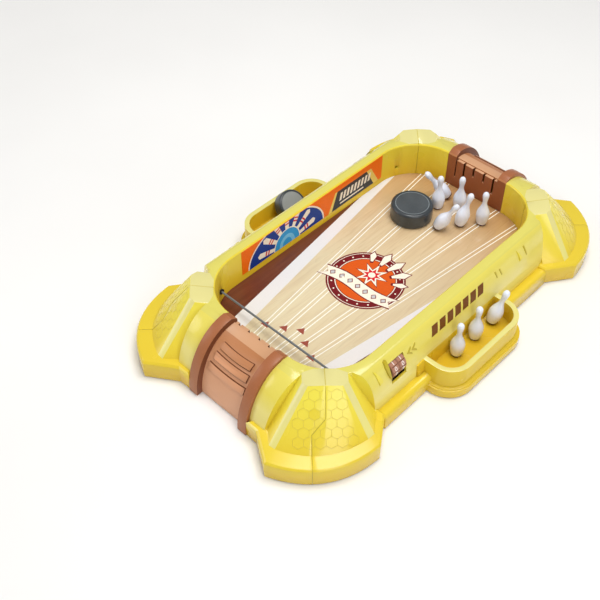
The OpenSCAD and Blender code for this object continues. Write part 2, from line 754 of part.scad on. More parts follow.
// Flanged eyelet in each wall
module cord_eyelets() {
    color("black") for (s = [0, 1]) mirror([s, 0, 0])
        translate([cord_wall_x - eyelet_sink, -cord_y, cord_z]) rotate([0, 90, 0]) difference() {
            union() {
                translate([0, 0, -0.9]) cylinder(d = eyelet_d, h = 0.9);
                cylinder(d = cord_d + 1.5, h = wall + 0.8);
            }
            translate([0, 0, -2]) cylinder(d = cord_d + 0.1, h = wall + 5);
        }
}

// Beads that stop the cord behind each wall
module cord_stops() {
    color("black") for (s = [0, 1]) mirror([s, 0, 0])
        translate([stop_x, -cord_y, cord_z]) rotate([0, 90, 0]) difference() {
            cylinder(d = 5, h = 2);
            translate([0, 0, -1]) cylinder(d = cord_d + 0.1, h = 1 + stop_grip);
        }
}

// Plate under a buttress that joins the two mouldings
module corner_plate() {
    margin = boss_d / 2 + 1;
    v0 = END_BOSSES[1].y - margin;
    v1 = RAIL_BOSSES[1].y + margin;
    u0 = END_BOSSES[0].x - margin;
    u1 = RAIL_BOSSES[1].x + margin;
    color("goldenrod") difference() {
        translate([0, 0, plate_z]) linear_extrude(plate_t)
            polygon(corner_pts([[u0, v0], [u1, v0], [u1, v1], [u0, v1]]));
        for (p = concat(END_BOSSES, RAIL_BOSSES))
            translate(concat(corner(p.x, p.y), plate_z)) screw_hole(plate_t + 1);
    }
}

module frame_screws() {
    color("gray") both_x() both_y() for (p = concat(END_BOSSES, RAIL_BOSSES))
        translate(concat(corner(p.x, p.y), plate_z)) screw(11);
}

module cap_screws() {
    color("gray") both_x() both_y()
        translate([CAP_SCREW_X, CAP_SCREW_Y, shelf_z]) screw(10);
}

module lane_board_screws() {
    color("gray") {
        for (s = [-1, 1]) translate([s * BOARD_SCREWS[0].x, 0, shelf_z]) screw(ledge_t + 1.7);
        both_x() both_y() for (p = [BOARD_SCREWS[1], BOARD_SCREWS[2]])
            translate([p.x, p.y, shelf_z]) screw(ledge_t + 1.7);
    }
}

module rubber_feet() {
    color("darkslategray") both_x() both_y()
        translate(corner(RAIL_BOSSES[1].x - 11, mid_v - 1)) cylinder(d = foot_d, h = foot_h);
}

// Radius of a pin at height z, with smooth runs between its five stations
STATIONS = [[0, pin_foot_r], [0.3 * pin_h, belly_r], [0.69 * pin_h, neck_r],
    [pin_h - head_r - 1, head_r]];
function pin_r(z) = let (
        k = z < STATIONS[1].x ? 0 : z < STATIONS[2].x ? 1 : 2,
        a = STATIONS[k], b = STATIONS[k + 1], t = (z - a.x) / (b.x - a.x))
    k == 0 ? a.y + (b.y - a.y) * sin(90 * t) : a.y + (b.y - a.y) * (1 - cos(180 * t)) / 2;

module pin_body() {
    top = STATIONS[3].x;
    steps = 22;
    peg_r = 2.2;
    color("white") difference() {
        rotate_extrude() polygon(concat(
            [[0, pin_base_t]],
            [for (i = [0 : steps]) let (z = pin_base_t + (top - pin_base_t) * i / steps)
                [pin_r(z), z]],
            [for (i = [1 : 6]) [head_r * cos(15 * i), top + (pin_h - top) * sin(15 * i)]]));
        translate([0, 0, pin_base_t - EPS]) cylinder(r = peg_r, h = 4);
    }
}

module pin_base() {
    peg_r = 2.15;
    color("maroon") {
        rotate_extrude() polygon([[0, 0], [pin_foot_r, 0], [pin_r(pin_base_t), pin_base_t],
            [0, pin_base_t]]);
        translate([0, 0, pin_base_t - EPS]) cylinder(r = peg_r, h = 3.6);
    }
}

// Stands a piece on the floor at a pin's place, tipped over the edge of its foot
module stand(place, floor_z) {
    translate([place[0], place[1], floor_z]) rotate([0, 0, place[3]])
        translate([pin_foot_r, 0, 0]) rotate([0, place[2], 0])
            translate([-pin_foot_r, 0, 0]) children();
}

module lane_pin(i) {
    stand(LANE_PINS[i - 1], lane_z) pin_body();
}

module lane_pin_base(i) {
    stand(LANE_PINS[i - 1], lane_z) pin_base();
}

module pocket_pin(i) {
    stand(POCKET_PINS[i - 1], pocket_floor_z) pin_body();
}

module pocket_pin_base(i) {
    stand(POCKET_PINS[i - 1], pocket_floor_z) pin_base();
}

// A puck lies on z = 0, glide face down; k is its size against the lane's puck
module puck_shell(k) {
    core = k * (puck_r - puck_edge_r);
    edge = k * puck_edge_r;
    color("dimgray") rotate_extrude($fn = 96) difference() {
        union() {
            square([core, k * puck_h]);
            translate([core, edge]) square([edge, k * puck_h - 2 * edge]);
            for (z = [edge, k * puck_h - edge])
                translate([core, z]) intersection() {
                    circle(edge);
                    translate([0, -edge]) square([edge, 2 * edge]);
                }
        }
        translate([0, -EPS]) square([k * disc_d / 2, k * disc_t + EPS]);
        translate([0, k * (puck_h - disc_t)]) square([k * disc_d / 2, k * disc_t + EPS]);
        translate([0, k * disc_t - EPS])
            square([k * weight_d / 2 + disc_gap, k * (weight_t + 1) + EPS]);
    }
}

module puck_top_disc(k) {
    groove = 0.4;
    color("slategray") translate([0, 0, k * (puck_h - disc_t)]) difference() {
        cylinder(d = k * disc_d - 2 * disc_gap, h = k * disc_t, $fn = 96);
        translate([0, 0, k * disc_t - groove]) difference() {
            cylinder(d = k * disc_d - 2, h = 1, $fn = 96);
            translate([0, 0, -1]) cylinder(d = k * disc_d - 3, h = 3, $fn = 96);
        }
    }
}

module puck_glide_disc(k) {
    color("silver") cylinder(d = k * disc_d - 2 * disc_gap, h = k * disc_t, $fn = 96);
}

module puck_weight(k) {
    color("gray") translate([0, 0, k * (disc_t + 1)])
        cylinder(d = k * weight_d, h = k * weight_t, $fn = 96);
}

module on_lane() {
    translate(concat(LANE_PUCK, lane_z)) children();
}

// Leans a puck from the left pocket's floor onto its rim, glide face up
module in_pocket() {
    lift = 0.2;
    low_x = pocket_in_x - (pocket_rim_z - pocket_floor_z) / tan(tilt);
    translate([-low_x + lift, POCKET_PUCK_Y, pocket_floor_z + lift])
        rotate([0, tilt, 0]) translate([-small_puck * puck_r, 0, small_puck * puck_h])
            mirror([0, 0, 1]) children();
}

twin() end_frame();  // near_end_frame
end_frame();  // far_end_frame
twin() side_rail();  // left_side_rail
side_rail();  // right_side_rail
lane_board();
lane_sheet();
twin() end_cap();  // near_end_cap
end_cap();  // far_end_cap
twin() wall_label();  // left_wall_label
wall_label();  // right_wall_label
number_wheel(-1);  // right_tens_wheel
number_wheel(1);  // right_units_wheel
counter_axle();  // right_counter_axle
counter_bracket();  // right_counter_bracket
twin() number_wheel(-1);  // left_tens_wheel
twin() number_wheel(1);  // left_units_wheel
twin() counter_axle();  // left_counter_axle
twin() counter_bracket();  // left_counter_bracket
counter_screws();
elastic_cord();
cord_eyelets();
cord_stops();
mirror([0, 1, 0]) corner_plate();  // near_right_corner_plate
twin() corner_plate();  // near_left_corner_plate
corner_plate();  // far_right_corner_plate
mirror([1, 0, 0]) corner_plate();  // far_left_corner_plate
frame_screws();
cap_screws();
lane_board_screws();
rubber_feet();
lane_pin(1);  // lane_pin_1
lane_pin_base(1);  // lane_pin_1_base
lane_pin(2);  // lane_pin_2
lane_pin_base(2);  // lane_pin_2_base
lane_pin(3);  // lane_pin_3
lane_pin_base(3);  // lane_pin_3_base
lane_pin(4);  // lane_pin_4
lane_pin_base(4);  // lane_pin_4_base
lane_pin(5);  // lane_pin_5
lane_pin_base(5);  // lane_pin_5_base
lane_pin(6);  // lane_pin_6
lane_pin_base(6);  // lane_pin_6_base
pocket_pin(1);  // pocket_pin_1
pocket_pin_base(1);  // pocket_pin_1_base
pocket_pin(2);  // pocket_pin_2
pocket_pin_base(2);  // pocket_pin_2_base
pocket_pin(3);  // pocket_pin_3
pocket_pin_base(3);  // pocket_pin_3_base
on_lane() puck_shell(1);  // lane_puck_shell
on_lane() puck_top_disc(1);  // lane_puck_top_disc
on_lane() puck_glide_disc(1);  // lane_puck_glide_disc
on_lane() puck_weight(1);  // lane_puck_weight
in_pocket() puck_shell(small_puck);  // pocket_puck_shell
in_pocket() puck_top_disc(small_puck);  // pocket_puck_top_disc
in_pocket() puck_glide_disc(small_puck);  // pocket_puck_glide_disc
in_pocket() puck_weight(small_puck);  // pocket_puck_weight
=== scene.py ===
"""Looks of a table bowling game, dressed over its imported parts. Sizes in millimetres."""

import math
import random
from contextlib import contextmanager

import bmesh
import bpy
import numpy as np
from mathutils import Matrix, Vector
from mathutils.bvhtree import BVHTree
from mathutils.geometry import delaunay_2d_cdt


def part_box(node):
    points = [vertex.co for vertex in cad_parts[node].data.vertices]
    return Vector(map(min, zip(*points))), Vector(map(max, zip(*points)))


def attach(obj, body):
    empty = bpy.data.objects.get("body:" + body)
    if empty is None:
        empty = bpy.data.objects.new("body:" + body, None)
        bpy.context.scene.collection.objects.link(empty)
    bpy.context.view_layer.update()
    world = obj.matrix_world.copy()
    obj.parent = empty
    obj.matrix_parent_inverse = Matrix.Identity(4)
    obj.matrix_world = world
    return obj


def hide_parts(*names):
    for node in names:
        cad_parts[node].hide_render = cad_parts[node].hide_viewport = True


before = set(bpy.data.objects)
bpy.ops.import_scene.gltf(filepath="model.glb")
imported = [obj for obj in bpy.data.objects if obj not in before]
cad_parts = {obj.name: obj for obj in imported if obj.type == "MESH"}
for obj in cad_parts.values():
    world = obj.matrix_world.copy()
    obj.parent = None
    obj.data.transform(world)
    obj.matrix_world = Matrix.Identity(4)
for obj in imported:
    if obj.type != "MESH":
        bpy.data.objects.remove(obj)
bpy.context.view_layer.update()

MM = 0.001

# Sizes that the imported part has

RIM_Z = 58.0
LANE_Z = 22.0
SLOPE_X, SLOPE_RUN, CREASE_Z = 86.0, 15.0, 15.0
CORNER, CORNER_R, MID_V = Vector((34.0, 102.0)), 45.0, -4.0
JOG, JOG_START, JOG_RUN = 11.0, 82.0, 8.0
CAP_Y, CAP_RUN, CAP_Z, CAP_RISE = 153.0, 38.0, 1.0, 54.0
POCKET_Y, POCKET_IN_X, POCKET_FLOOR, POCKET_RIM = -4.0, 128.4, 12.0, 30.0
COUNTER_Y, WHEEL_X, WHEEL_Z, WHEEL_R, WHEEL_W = -86.5, 90.6, 42.0, 9.0, 8.1
PIN_FOOT_R, PIN_BASE_T = 4.6, 1.3
PUCK_R, PUCK_H, SMALL_PUCK = 20.25, 16.5, 0.74
SCREW_HEAD = 1.6


# Camera, floor and lights

def link(obj):
    """Puts an object into the scene."""
    bpy.context.scene.collection.objects.link(obj)
    return obj


def aim_camera():
    """The photograph's view of the tray, with the place that was fitted to it."""
    turn, height, reach = 0.764124, 0.810615, 0.84044634
    target = Vector((-0.02483005, -0.07244699, 0.022))
    back = Vector((math.sin(turn) * math.cos(height), -math.cos(turn) * math.cos(height),
                   math.sin(height)))
    lens = bpy.data.cameras.new("game_view")
    lens.sensor_width = 36.0
    lens.lens = 57.018
    eye = link(bpy.data.objects.new("game_view", lens))
    eye.location = target + back * reach
    eye.rotation_euler = (-back).to_track_quat("-Z", "Y").to_euler()
    bpy.context.scene.camera = eye


def lamp(name, place, size, watts, colour=(1, 1, 1)):
    """A round soft light that points at the middle of the frame."""
    light = bpy.data.lights.new(name, "AREA")
    light.shape = "DISK"
    light.size = size
    light.energy = watts
    light.color = colour
    obj = link(bpy.data.objects.new(name, light))
    obj.location = place
    obj.rotation_euler = (-Vector(place)).to_track_quat("-Z", "Y").to_euler()


aim_camera()
lamp("top_softbox", (0.12, 0.1, 1.45), 1.0, 16.6, (1.0, 0.995, 0.985))
lamp("right_fill", (1.2, -0.6, 0.75), 0.8, 5.6)
lamp("left_fill", (-1.2, -0.9, 0.8), 0.9, 5.2, (1.0, 0.99, 0.975))

bpy.context.scene.view_settings.view_transform = "Standard"
room = bpy.data.worlds.new("pale_room")
room.use_nodes = True
room.node_tree.nodes["Background"].inputs["Color"].default_value = (0.97, 0.97, 0.97, 1)
room.node_tree.nodes["Background"].inputs["Strength"].default_value = 0.3
bpy.context.scene.world = room


# Finishes

def tint(code, gain=1.0, lift=0.0):
    """Linear colour of a #rrggbb code, made darker or lighter by a gain and a lift."""
    parts = [int(code[i:i + 2], 16) / 255 for i in (1, 3, 5)]
    linear = [c / 12.92 if c < 0.04045 else ((c + 0.055) / 1.055) ** 2.4 for c in parts]
    return tuple(min(1.0, c * gain + lift) for c in linear) + (1.0,)


class Finish:
    """A material built from nodes on Object coordinates."""

    def __init__(self, name, rough, coat=0.0, metal=0.0, coat_rough=0.1, specular=0.5):
        self.material = bpy.data.materials.new(name)
        self.material.use_nodes = True
        self.tree = self.material.node_tree
        self.shader = self.tree.nodes["Principled BSDF"]
        self.put({"Roughness": rough, "Metallic": metal, "Coat Weight": coat,
                  "Coat Roughness": coat_rough, "Specular IOR Level": specular})
        self.spot = self.node("TexCoord", "Object", {})

    def put(self, values, node=None):
        """Sets or links sockets of a node, or else of the shader; a string is a colour code."""
        for key, value in values.items():
            socket = (node or self.shader).inputs[key]
            if isinstance(value, bpy.types.NodeSocket):
                self.tree.links.new(value, socket)
            else:
                socket.default_value = tint(value) if isinstance(value, str) else value

    def node(self, kind, result, values, **settings):
        """Adds a node and returns one of its outputs."""
        made = self.tree.nodes.new("ShaderNode" + kind)
        for key, value in settings.items():
            setattr(made, key, value)
        self.put(values, made)
        return made.outputs[result]

    def placed(self, scale=(1, 1, 1), shift=(0, 0, 0)):
        return self.node("Mapping", "Vector",
                         {"Vector": self.spot, "Scale": scale, "Location": shift})

    def noise(self, scale, detail=3.0, rough=0.5, source=None, warp=0.0):
        return self.node("TexNoise", "Fac", {"Vector": source or self.spot, "Scale": scale,
                                             "Detail": detail, "Roughness": rough,
                                             "Distortion": warp})

    def math(self, operation, a, b=0.0):
        return self.node("Math", "Value", {0: a, 1: b}, operation=operation)

    def spread(self, value, low, high, to_low=0.0, to_high=1.0):
        return self.node("MapRange", "Result", {"Value": value, "From Min": low,
                                                "From Max": high, "To Min": to_low,
                                                "To Max": to_high})

    def blend(self, part, low, high, one, two, share=1.0):
        """Goes from colour one to colour two, or a share of the way, as part goes low to high."""
        return self.node("Mix", 2, {0: self.spread(part, low, high, 0.0, share), 6: one, 7: two},
                         data_type="RGBA")

    def ramp(self, value, stops):
        made = self.tree.nodes.new("ShaderNodeValToRGB")
        self.put({"Fac": value}, made)
        items = made.color_ramp.elements
        while len(items) < len(stops):
            items.new(0.5)
        for item, (place, code) in zip(items, stops):
            item.position = place
            item.color = tint(code)
        return made.outputs["Color"]

    def axis(self, name, source=None):
        return self.node("SeparateXYZ", name, {"Vector": source or self.spot})

    def colour(self, value):
        self.put({"Base Color": value})

    def bump(self, height, strength, depth):
        self.put({"Normal": self.node("Bump", "Normal", {"Strength": strength, "Distance": depth,
                                                         "Height": height})})

    def rough(self, value, low, high):
        self.put({"Roughness": self.spread(value, 0.3, 0.7, low, high)})


def moulded(name, rough, coat, low, high, *between):
    """Glossy moulded plastic whose tone changes with height as painted light and shade, with faint
    flow marks.
    """
    f = Finish(name, rough, coat, coat_rough=0.12, specular=0.4)
    # Painted light and shade: the colour ramp runs from the low colour at the foot to the high
    # colour at the top.
    rise = f.spread(f.axis("Z"), 0.006, 0.056)
    cloud = f.spread(f.noise(12.0, 1.0), 0.3, 0.7, -0.05, 0.05)
    body = f.ramp(f.math("ADD", rise, cloud), [(0.0, low), *between, (1.0, high)])
    fine = f.noise(900.0, 2.0, 0.6)
    f.colour(f.blend(fine, 0.35, 0.65, body, "#ffffff", 0.008))
    f.rough(f.noise(40.0, 1.0), rough - 0.02, rough + 0.03)
    f.bump(fine, 0.06, 0.00003)
    return f


def ink(name, code, rough=0.38, mottle=0.025, coat=0.05):
    """Printed ink under a clear film, with a faint dot grain."""
    f = Finish("printed_" + name, rough, coat, specular=0.2)
    f.colour(f.blend(f.noise(600.0, 2.0), 0.35, 0.65, tint(code, 1 - 2 * mottle),
                     tint(code, 1 + mottle)))
    f.rough(f.noise(40.0), rough - 0.05, rough + 0.08)
    return f


def lane_wood():
    """Printed pale boards: long fine grain, soft knots, darker towards the far end."""
    f = Finish("printed_lane_wood", 0.26, 0.45, coat_rough=0.07)
    grain = f.noise(420.0, 5.0, 0.62, f.placed((1.0, 0.055, 1.0)), 0.4)
    broad = f.noise(46.0, 3.0, 0.5, f.placed((1.0, 0.14, 1.0), (0.3, 0.1, 0)), 0.6)
    base = f.ramp(f.spread(f.axis("Y"), -0.147, 0.147),
                  [(0.0, "#e3d7b4"), (0.45, "#e6d7b2"), (0.72, "#dec49a"), (1.0, "#b78d5c")])
    shade = f.blend(broad, 0.35, 0.68, base, "#c79d6b", 0.24)
    f.colour(f.blend(grain, 0.47, 0.72, shade, "#a87b4b", 0.24))
    f.rough(broad, 0.22, 0.34)
    f.bump(grain, 0.05, 0.00003)
    return f


def dark_board():
    """Printed dark brown floor beside the lane."""
    f = Finish("printed_dark_gutter", 0.34, 0.15, specular=0.3)
    grain = f.noise(300.0, 4.0, 0.6, f.placed((1.0, 0.06, 1.0)), 0.3)
    base = f.ramp(f.spread(f.axis("Y"), -0.14, 0.07), [(0.0, "#6a3420"), (1.0, "#7b472c")])
    f.colour(f.blend(grain, 0.4, 0.7, base, "#461c12", 0.4))
    return f


def pressed_board():
    """Brown fibreboard with short random fibres."""
    f = Finish("pressed_fibreboard", 0.85)
    fibres = f.noise(1400.0, 3.0, 0.7, f.placed((1.0, 0.35, 1.0)))
    base = f.blend(fibres, 0.3, 0.7, "#7c5a38", "#a98458")
    f.colour(f.blend(f.noise(500.0, 2.0), 0.6, 0.7, base, "#5a3d24", 0.6))
    f.bump(fibres, 0.4, 0.0001)
    return f


def steel(name, code, rough, stretch):
    """Bright steel with fine drawn lines."""
    f = Finish(name, rough, metal=1.0)
    lines = f.noise(1500.0, 2.0, 0.6, f.placed(stretch))
    f.colour(f.blend(lines, 0.35, 0.65, tint(code, 0.72), code))
    f.rough(lines, rough - 0.08, rough + 0.12)
    return f


def rubber(name, code, rough):
    """Matt rubber or plastic with a fine moulded grain."""
    f = Finish(name, rough)
    grain = f.noise(1100.0, 3.0, 0.6)
    f.colour(f.blend(grain, 0.4, 0.7, code, tint(code, 1.7, 0.004), 0.7))
    f.bump(grain, 0.3, 0.00008)
    return f


def slate(name, edge, face, rough, coat):
    """Dark grey plastic with a faint mineral fleck."""
    f = Finish(name, rough, coat, coat_rough=0.18)
    fleck = f.noise(700.0, 3.0, 0.7)
    base = f.blend(f.noise(60.0, 2.0), 0.3, 0.7, edge, face)
    f.colour(f.blend(fleck, 0.62, 0.75, base, "#9aa0a3", 0.25))
    f.rough(f.noise(150.0), rough - 0.06, rough + 0.08)
    f.bump(fleck, 0.1, 0.00004)
    return f


def pin_gloss():
    """Cool white glossy plastic that lets a little light in."""
    f = Finish("pin_gloss_white", 0.16, 0.5, coat_rough=0.05)
    f.colour(f.blend(f.noise(90.0, 2.0), 0.3, 0.7, "#e4ebfa", "#f0f4ff"))
    f.put({"Subsurface Weight": 0.06, "Subsurface Scale": 0.003,
           "Subsurface Radius": (1.0, 0.9, 0.85)})
    f.bump(f.noise(500.0, 2.0), 0.05, 0.00003)
    return f


def woven_elastic():
    """Grey braided elastic with two crossing sets of threads round the cord."""
    f = Finish("woven_elastic", 0.6)
    middle = f.placed(shift=(0, 0.120, -0.0325))
    along = f.math("MULTIPLY", f.axis("X"), 5200.0)
    around = f.math("ARCTAN2", f.axis("Z", middle), f.axis("Y", middle))
    threads = [f.math("SINE", f.math("ADD", along, f.math("MULTIPLY", around, turns)))
               for turns in (5.0, -5.0)]
    weave = f.math("MAXIMUM", *threads)
    f.colour(f.ramp(f.spread(weave, -0.6, 1.0),
                    [(0.0, "#30343a"), (0.6, "#5d646b"), (1.0, "#838a91")]))
    f.bump(weave, 0.6, 0.00012)
    f.put({"Sheen Weight": 0.3})
    return f


YELLOW = moulded("lemon_moulding", 0.25, 0.25, "#e0bd26", "#ebdc4c", (0.35, "#e6cd38"))
# Pale lemon on the rounded edges: a painted highlight.
YELLOW_EDGE_HIGHLIGHT = moulded("lemon_edge_painted_highlight", 0.2, 0.4, "#efd86a", "#f6ec94")
# Pale rim tops, and pale facets on the buttress tops, pocket rims and panel edge strips: painted
# highlights.
YELLOW_RIM_HIGHLIGHT = moulded("lemon_rim_painted_highlight", 0.24, 0.3, "#e0d770", "#dad064")
YELLOW_FACET_HIGHLIGHT = moulded("lemon_facet_painted_highlight", 0.24, 0.35, "#e8df7c", "#ded58c")
# Rounded outer walls: golden low and pale in the middle, painted shade and painted light by
# height.
YELLOW_SLOPE_LIT_AND_SHADED = moulded("lemon_rounded_wall_painted_light_and_shade", 0.24, 0.3, "#e2b824", "#e2d45e", (0.13, "#e8ca40"),
                       (0.3, "#eee07c"), (0.55, "#eee080"), (0.8, "#e6d65a"))
# Darker golden inner walls, pocket floors and the pocket end pads: painted shade.
YELLOW_WALL_SHADE = moulded("lemon_inner_wall_painted_shade", 0.28, 0.2, "#dab41e", "#ecd63e", (0.4, "#e2be28"))
# Deeper golden outer walls of the pockets: painted shade.
YELLOW_POCKET_SHADE = moulded("golden_pocket_wall_painted_shade", 0.25, 0.25, "#d6b422", "#ecd23c", (0.5, "#e2c42c"))
# Golden chevrons, dashes and window lips: painted shade on the moulded relief; on the seam bead,
# the joint's own line.
YELLOW_JOINT_AND_RELIEF_SHADE = moulded("golden_joint_and_painted_relief_shade", 0.3, 0.15, "#b39c14", "#bfab20")
# Darker yellow honeycomb ridges: painted shade on the raised lines.
HONEYCOMB = moulded("honeycomb_ridge_painted_shade", 0.3, 0.2, "#d5ba34", "#dccb44")
HONEYCOMB_CELL = moulded("honeycomb_deep_cell", 0.28, 0.2, "#e2c632", "#e8d43a")
BROWN = moulded("cap_moulding", 0.42, 0.08, "#dfa67e", "#b0703f", (0.6, "#d99c74"))
BROWN_BAND = moulded("cap_band", 0.42, 0.08, "#a8683f", "#a4623a")
BROWN_EDGE = moulded("cap_rounded_edge", 0.36, 0.12, "#c0825c", "#c98e69")
# Pale cap lips and ledges: painted highlight.
BROWN_LIP_HIGHLIGHT = moulded("cap_lip_painted_highlight", 0.4, 0.1, "#c08a62", "#cf9c74")
# Dark band sides, slot walls, faces turned from the crest's slope and bar outlines: painted shade.
BROWN_SIDE_SHADE = moulded("cap_side_painted_shade", 0.5, 0.03, "#7a4222", "#6f3818")
# Darker cap inner walls facing the lane: painted shade.
BROWN_WALL_SHADE = moulded("cap_inner_wall_painted_shade", 0.42, 0.06, "#955028", "#98542a")
WHEEL = moulded("wheel_plastic_brown", 0.38, 0.12, "#a06c54", "#b07c64")
WOOD = lane_wood()
GUTTER = dark_board()
STRIP = ink("white_strip", "#e9e7e6", 0.34, 0.006)
LINE = ink("white_line", "#fbf7ea", 0.34, 0.01)
ARROW = ink("arrow_brown", "#9e4f40")
MAROON = ink("maroon", "#75161c")
CREAM = ink("cream", "#fdf1dd")
ORANGE = ink("orange", "#dc5a14")
LABEL_ORANGE = ink("bright_orange", "#ff7404", coat=0.0)
SILVER = ink("silver", "#c9c8c8")
RED = ink("red", "#d8202c")
NAVY = ink("navy", "#0a3a92", coat=0.0)
SKY = ink("sky_blue", "#2f9fdc")
PALE_SKY = ink("pale_blue", "#7cc8ee")
CHARCOAL = ink("charcoal", "#35383b")
STRAW = ink("straw", "#f6d66a")
BAR_BROWN = ink("bar_brown", "#74420f", 0.4, 0.05, 0.1)
NUMERAL = ink("numeral", "#f3e6e0", 0.4, 0.03, 0.1)
CELL_LINE = ink("cell_line", "#5c2e20", 0.4, 0.05, 0.1)
PIN_WHITE = pin_gloss()
PIN_BASE = moulded("pin_base_maroon", 0.35, 0.2, "#3f1018", "#561820")
PUCK_SIDE = slate("puck_side_slate", "#2f3539", "#383e42", 0.34, 0.2)
PUCK_FACE = slate("puck_face_slate", "#3f4549", "#484e52", 0.5, 0.03)
PUCK_GREY = slate("puck_face_grey", "#8b8f91", "#94989a", 0.72, 0.0)
# Pale grey in the top disc's groove: a painted highlight.
PUCK_GROOVE_HIGHLIGHT = slate("puck_groove_painted_highlight", "#7b8386", "#858d90", 0.4, 0.1)
BOARD = pressed_board()
AXLE = steel("axle_steel_drawn", "#c9ccd0", 0.25, (1, 0.05, 1))
SCREW = steel("screw_steel_plated", "#b9bcc0", 0.3, (1, 1, 0.2))
WEIGHT = steel("weight_steel_turned", "#a3a7ab", 0.38, (1, 1, 1))
BRACKET = rubber("bracket_black_plastic", "#1d1f21", 0.5)
BEAD = rubber("bead_black_plastic", "#141517", 0.42)
FOOT = rubber("foot_rubber_grey", "#2b2d30", 0.8)
CORD = woven_elastic()
PLATE = moulded("plate_golden_plastic", 0.4, 0.1, "#c9940f", "#d9a91a")

YELLOWS = [YELLOW, YELLOW_EDGE_HIGHLIGHT, YELLOW_RIM_HIGHLIGHT, YELLOW_SLOPE_LIT_AND_SHADED, YELLOW_WALL_SHADE, YELLOW_FACET_HIGHLIGHT, YELLOW_POCKET_SHADE]
BROWNS = [BROWN, BROWN_EDGE, BROWN_LIP_HIGHLIGHT, BROWN_SIDE_SHADE, BROWN_WALL_SHADE, BROWN_BAND]
OVER_EDGES = (YELLOW_RIM_HIGHLIGHT, YELLOW_FACET_HIGHLIGHT, BROWN_LIP_HIGHLIGHT, BROWN_SIDE_SHADE)


# Mesh helpers

def polar(x, y, r, a):
    """Point at a distance r and an angle a from (x, y)."""
    return x + r * math.cos(a), y + r * math.sin(a)


def clamped(value):
    """A value held between 0 and 1."""
    return min(max(value, 0.0), 1.0)


def half_turned(p, half_turn):
    """A right-hand point, or the same point of the left side, half a turn round."""
    return Vector((-p[0], -p[1], p[2])) if half_turn else Vector(p)


def settle(obj, body="tray", node=None):
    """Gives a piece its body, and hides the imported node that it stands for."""
    if node:
        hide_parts(node)
    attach(obj, body)
    return obj


def dress(obj, finishes, angle=None):
    """Sets the finishes in the order of the faces' numbers, and the angle that stays sharp."""
    mesh = obj.data
    numbers = [f.material_index for f in mesh.polygons]
    mesh.materials.clear()
    for f in finishes if isinstance(finishes, list) else [finishes]:
        mesh.materials.append(f.material)
    mesh.polygons.foreach_set("material_index", numbers)
    if angle is not None:
        mesh.shade_smooth()
        mesh.set_sharp_from_angle(angle=math.radians(angle))
    return obj


def bake(name, bm, finishes, angle=None):
    """Object at the origin from a bmesh in millimetres, faces outward."""
    bmesh.ops.recalc_face_normals(bm, faces=bm.faces)
    bmesh.ops.scale(bm, vec=(MM, MM, MM), verts=bm.verts)
    mesh = bpy.data.meshes.new(name)
    bm.to_mesh(mesh)
    bm.free()
    return dress(link(bpy.data.objects.new(name, mesh)), finishes, angle)


def applied(obj):
    """Makes what the modifiers show the object's own mesh."""
    graph = bpy.context.evaluated_depsgraph_get()
    mesh = bpy.data.meshes.new_from_object(obj.evaluated_get(graph), depsgraph=graph)
    obj.modifiers.clear()
    obj.data = mesh
    return obj


@contextmanager
def editing(mesh):
    """Opens a mesh for editing and writes it back."""
    bm = bmesh.new()
    bm.from_mesh(mesh)
    yield bm
    bm.to_mesh(mesh)
    bm.free()


def packed_mesh(node):
    """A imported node's mesh with its loose triangles joined."""
    bm = bmesh.new()
    bm.from_mesh(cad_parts[node].data)
    bmesh.ops.remove_doubles(bm, verts=bm.verts, dist=2e-6)
    return bm


def lathe(bm, profile, steps, place=Matrix.Identity(4)):
    """Turns a profile of (radius, height) about Z; a point on the axis closes an end."""
    rings = []
    for r, z in profile:
        count = steps if r > 1e-6 else 1
        rings.append([bm.verts.new(place @ Vector((*polar(0, 0, r, 2 * math.pi * i / count), z)))
                      for i in range(count)])
    faces = []
    for a, b in zip(rings, rings[1:]):
        for i in range(steps):
            j = (i + 1) % steps
            quad = [a[i % len(a)], a[j % len(a)], b[j % len(b)], b[i % len(b)]]
            corners = list(dict.fromkeys(quad))
            if len(corners) > 2:
                faces.append(bm.faces.new(corners))
    return faces


def slices(bm, axis_places):
    """Cuts a mesh across its second axis at each place, so that it can bend there."""
    for place in axis_places:
        bmesh.ops.bisect_plane(bm, geom=bm.verts[:] + bm.edges[:] + bm.faces[:],
                               plane_co=(0, place, 0), plane_no=(0, 1, 0))


# Printed sheets

def inside(point, polygon):
    """Whether a point lies in a polygon."""
    x, y = point
    odd = False
    for (x1, y1), (x2, y2) in zip(polygon, polygon[1:] + polygon[:1]):
        if (y1 > y) != (y2 > y) and x < (x2 - x1) * (y - y1) / (y2 - y1) + x1:
            odd = not odd
    return odd


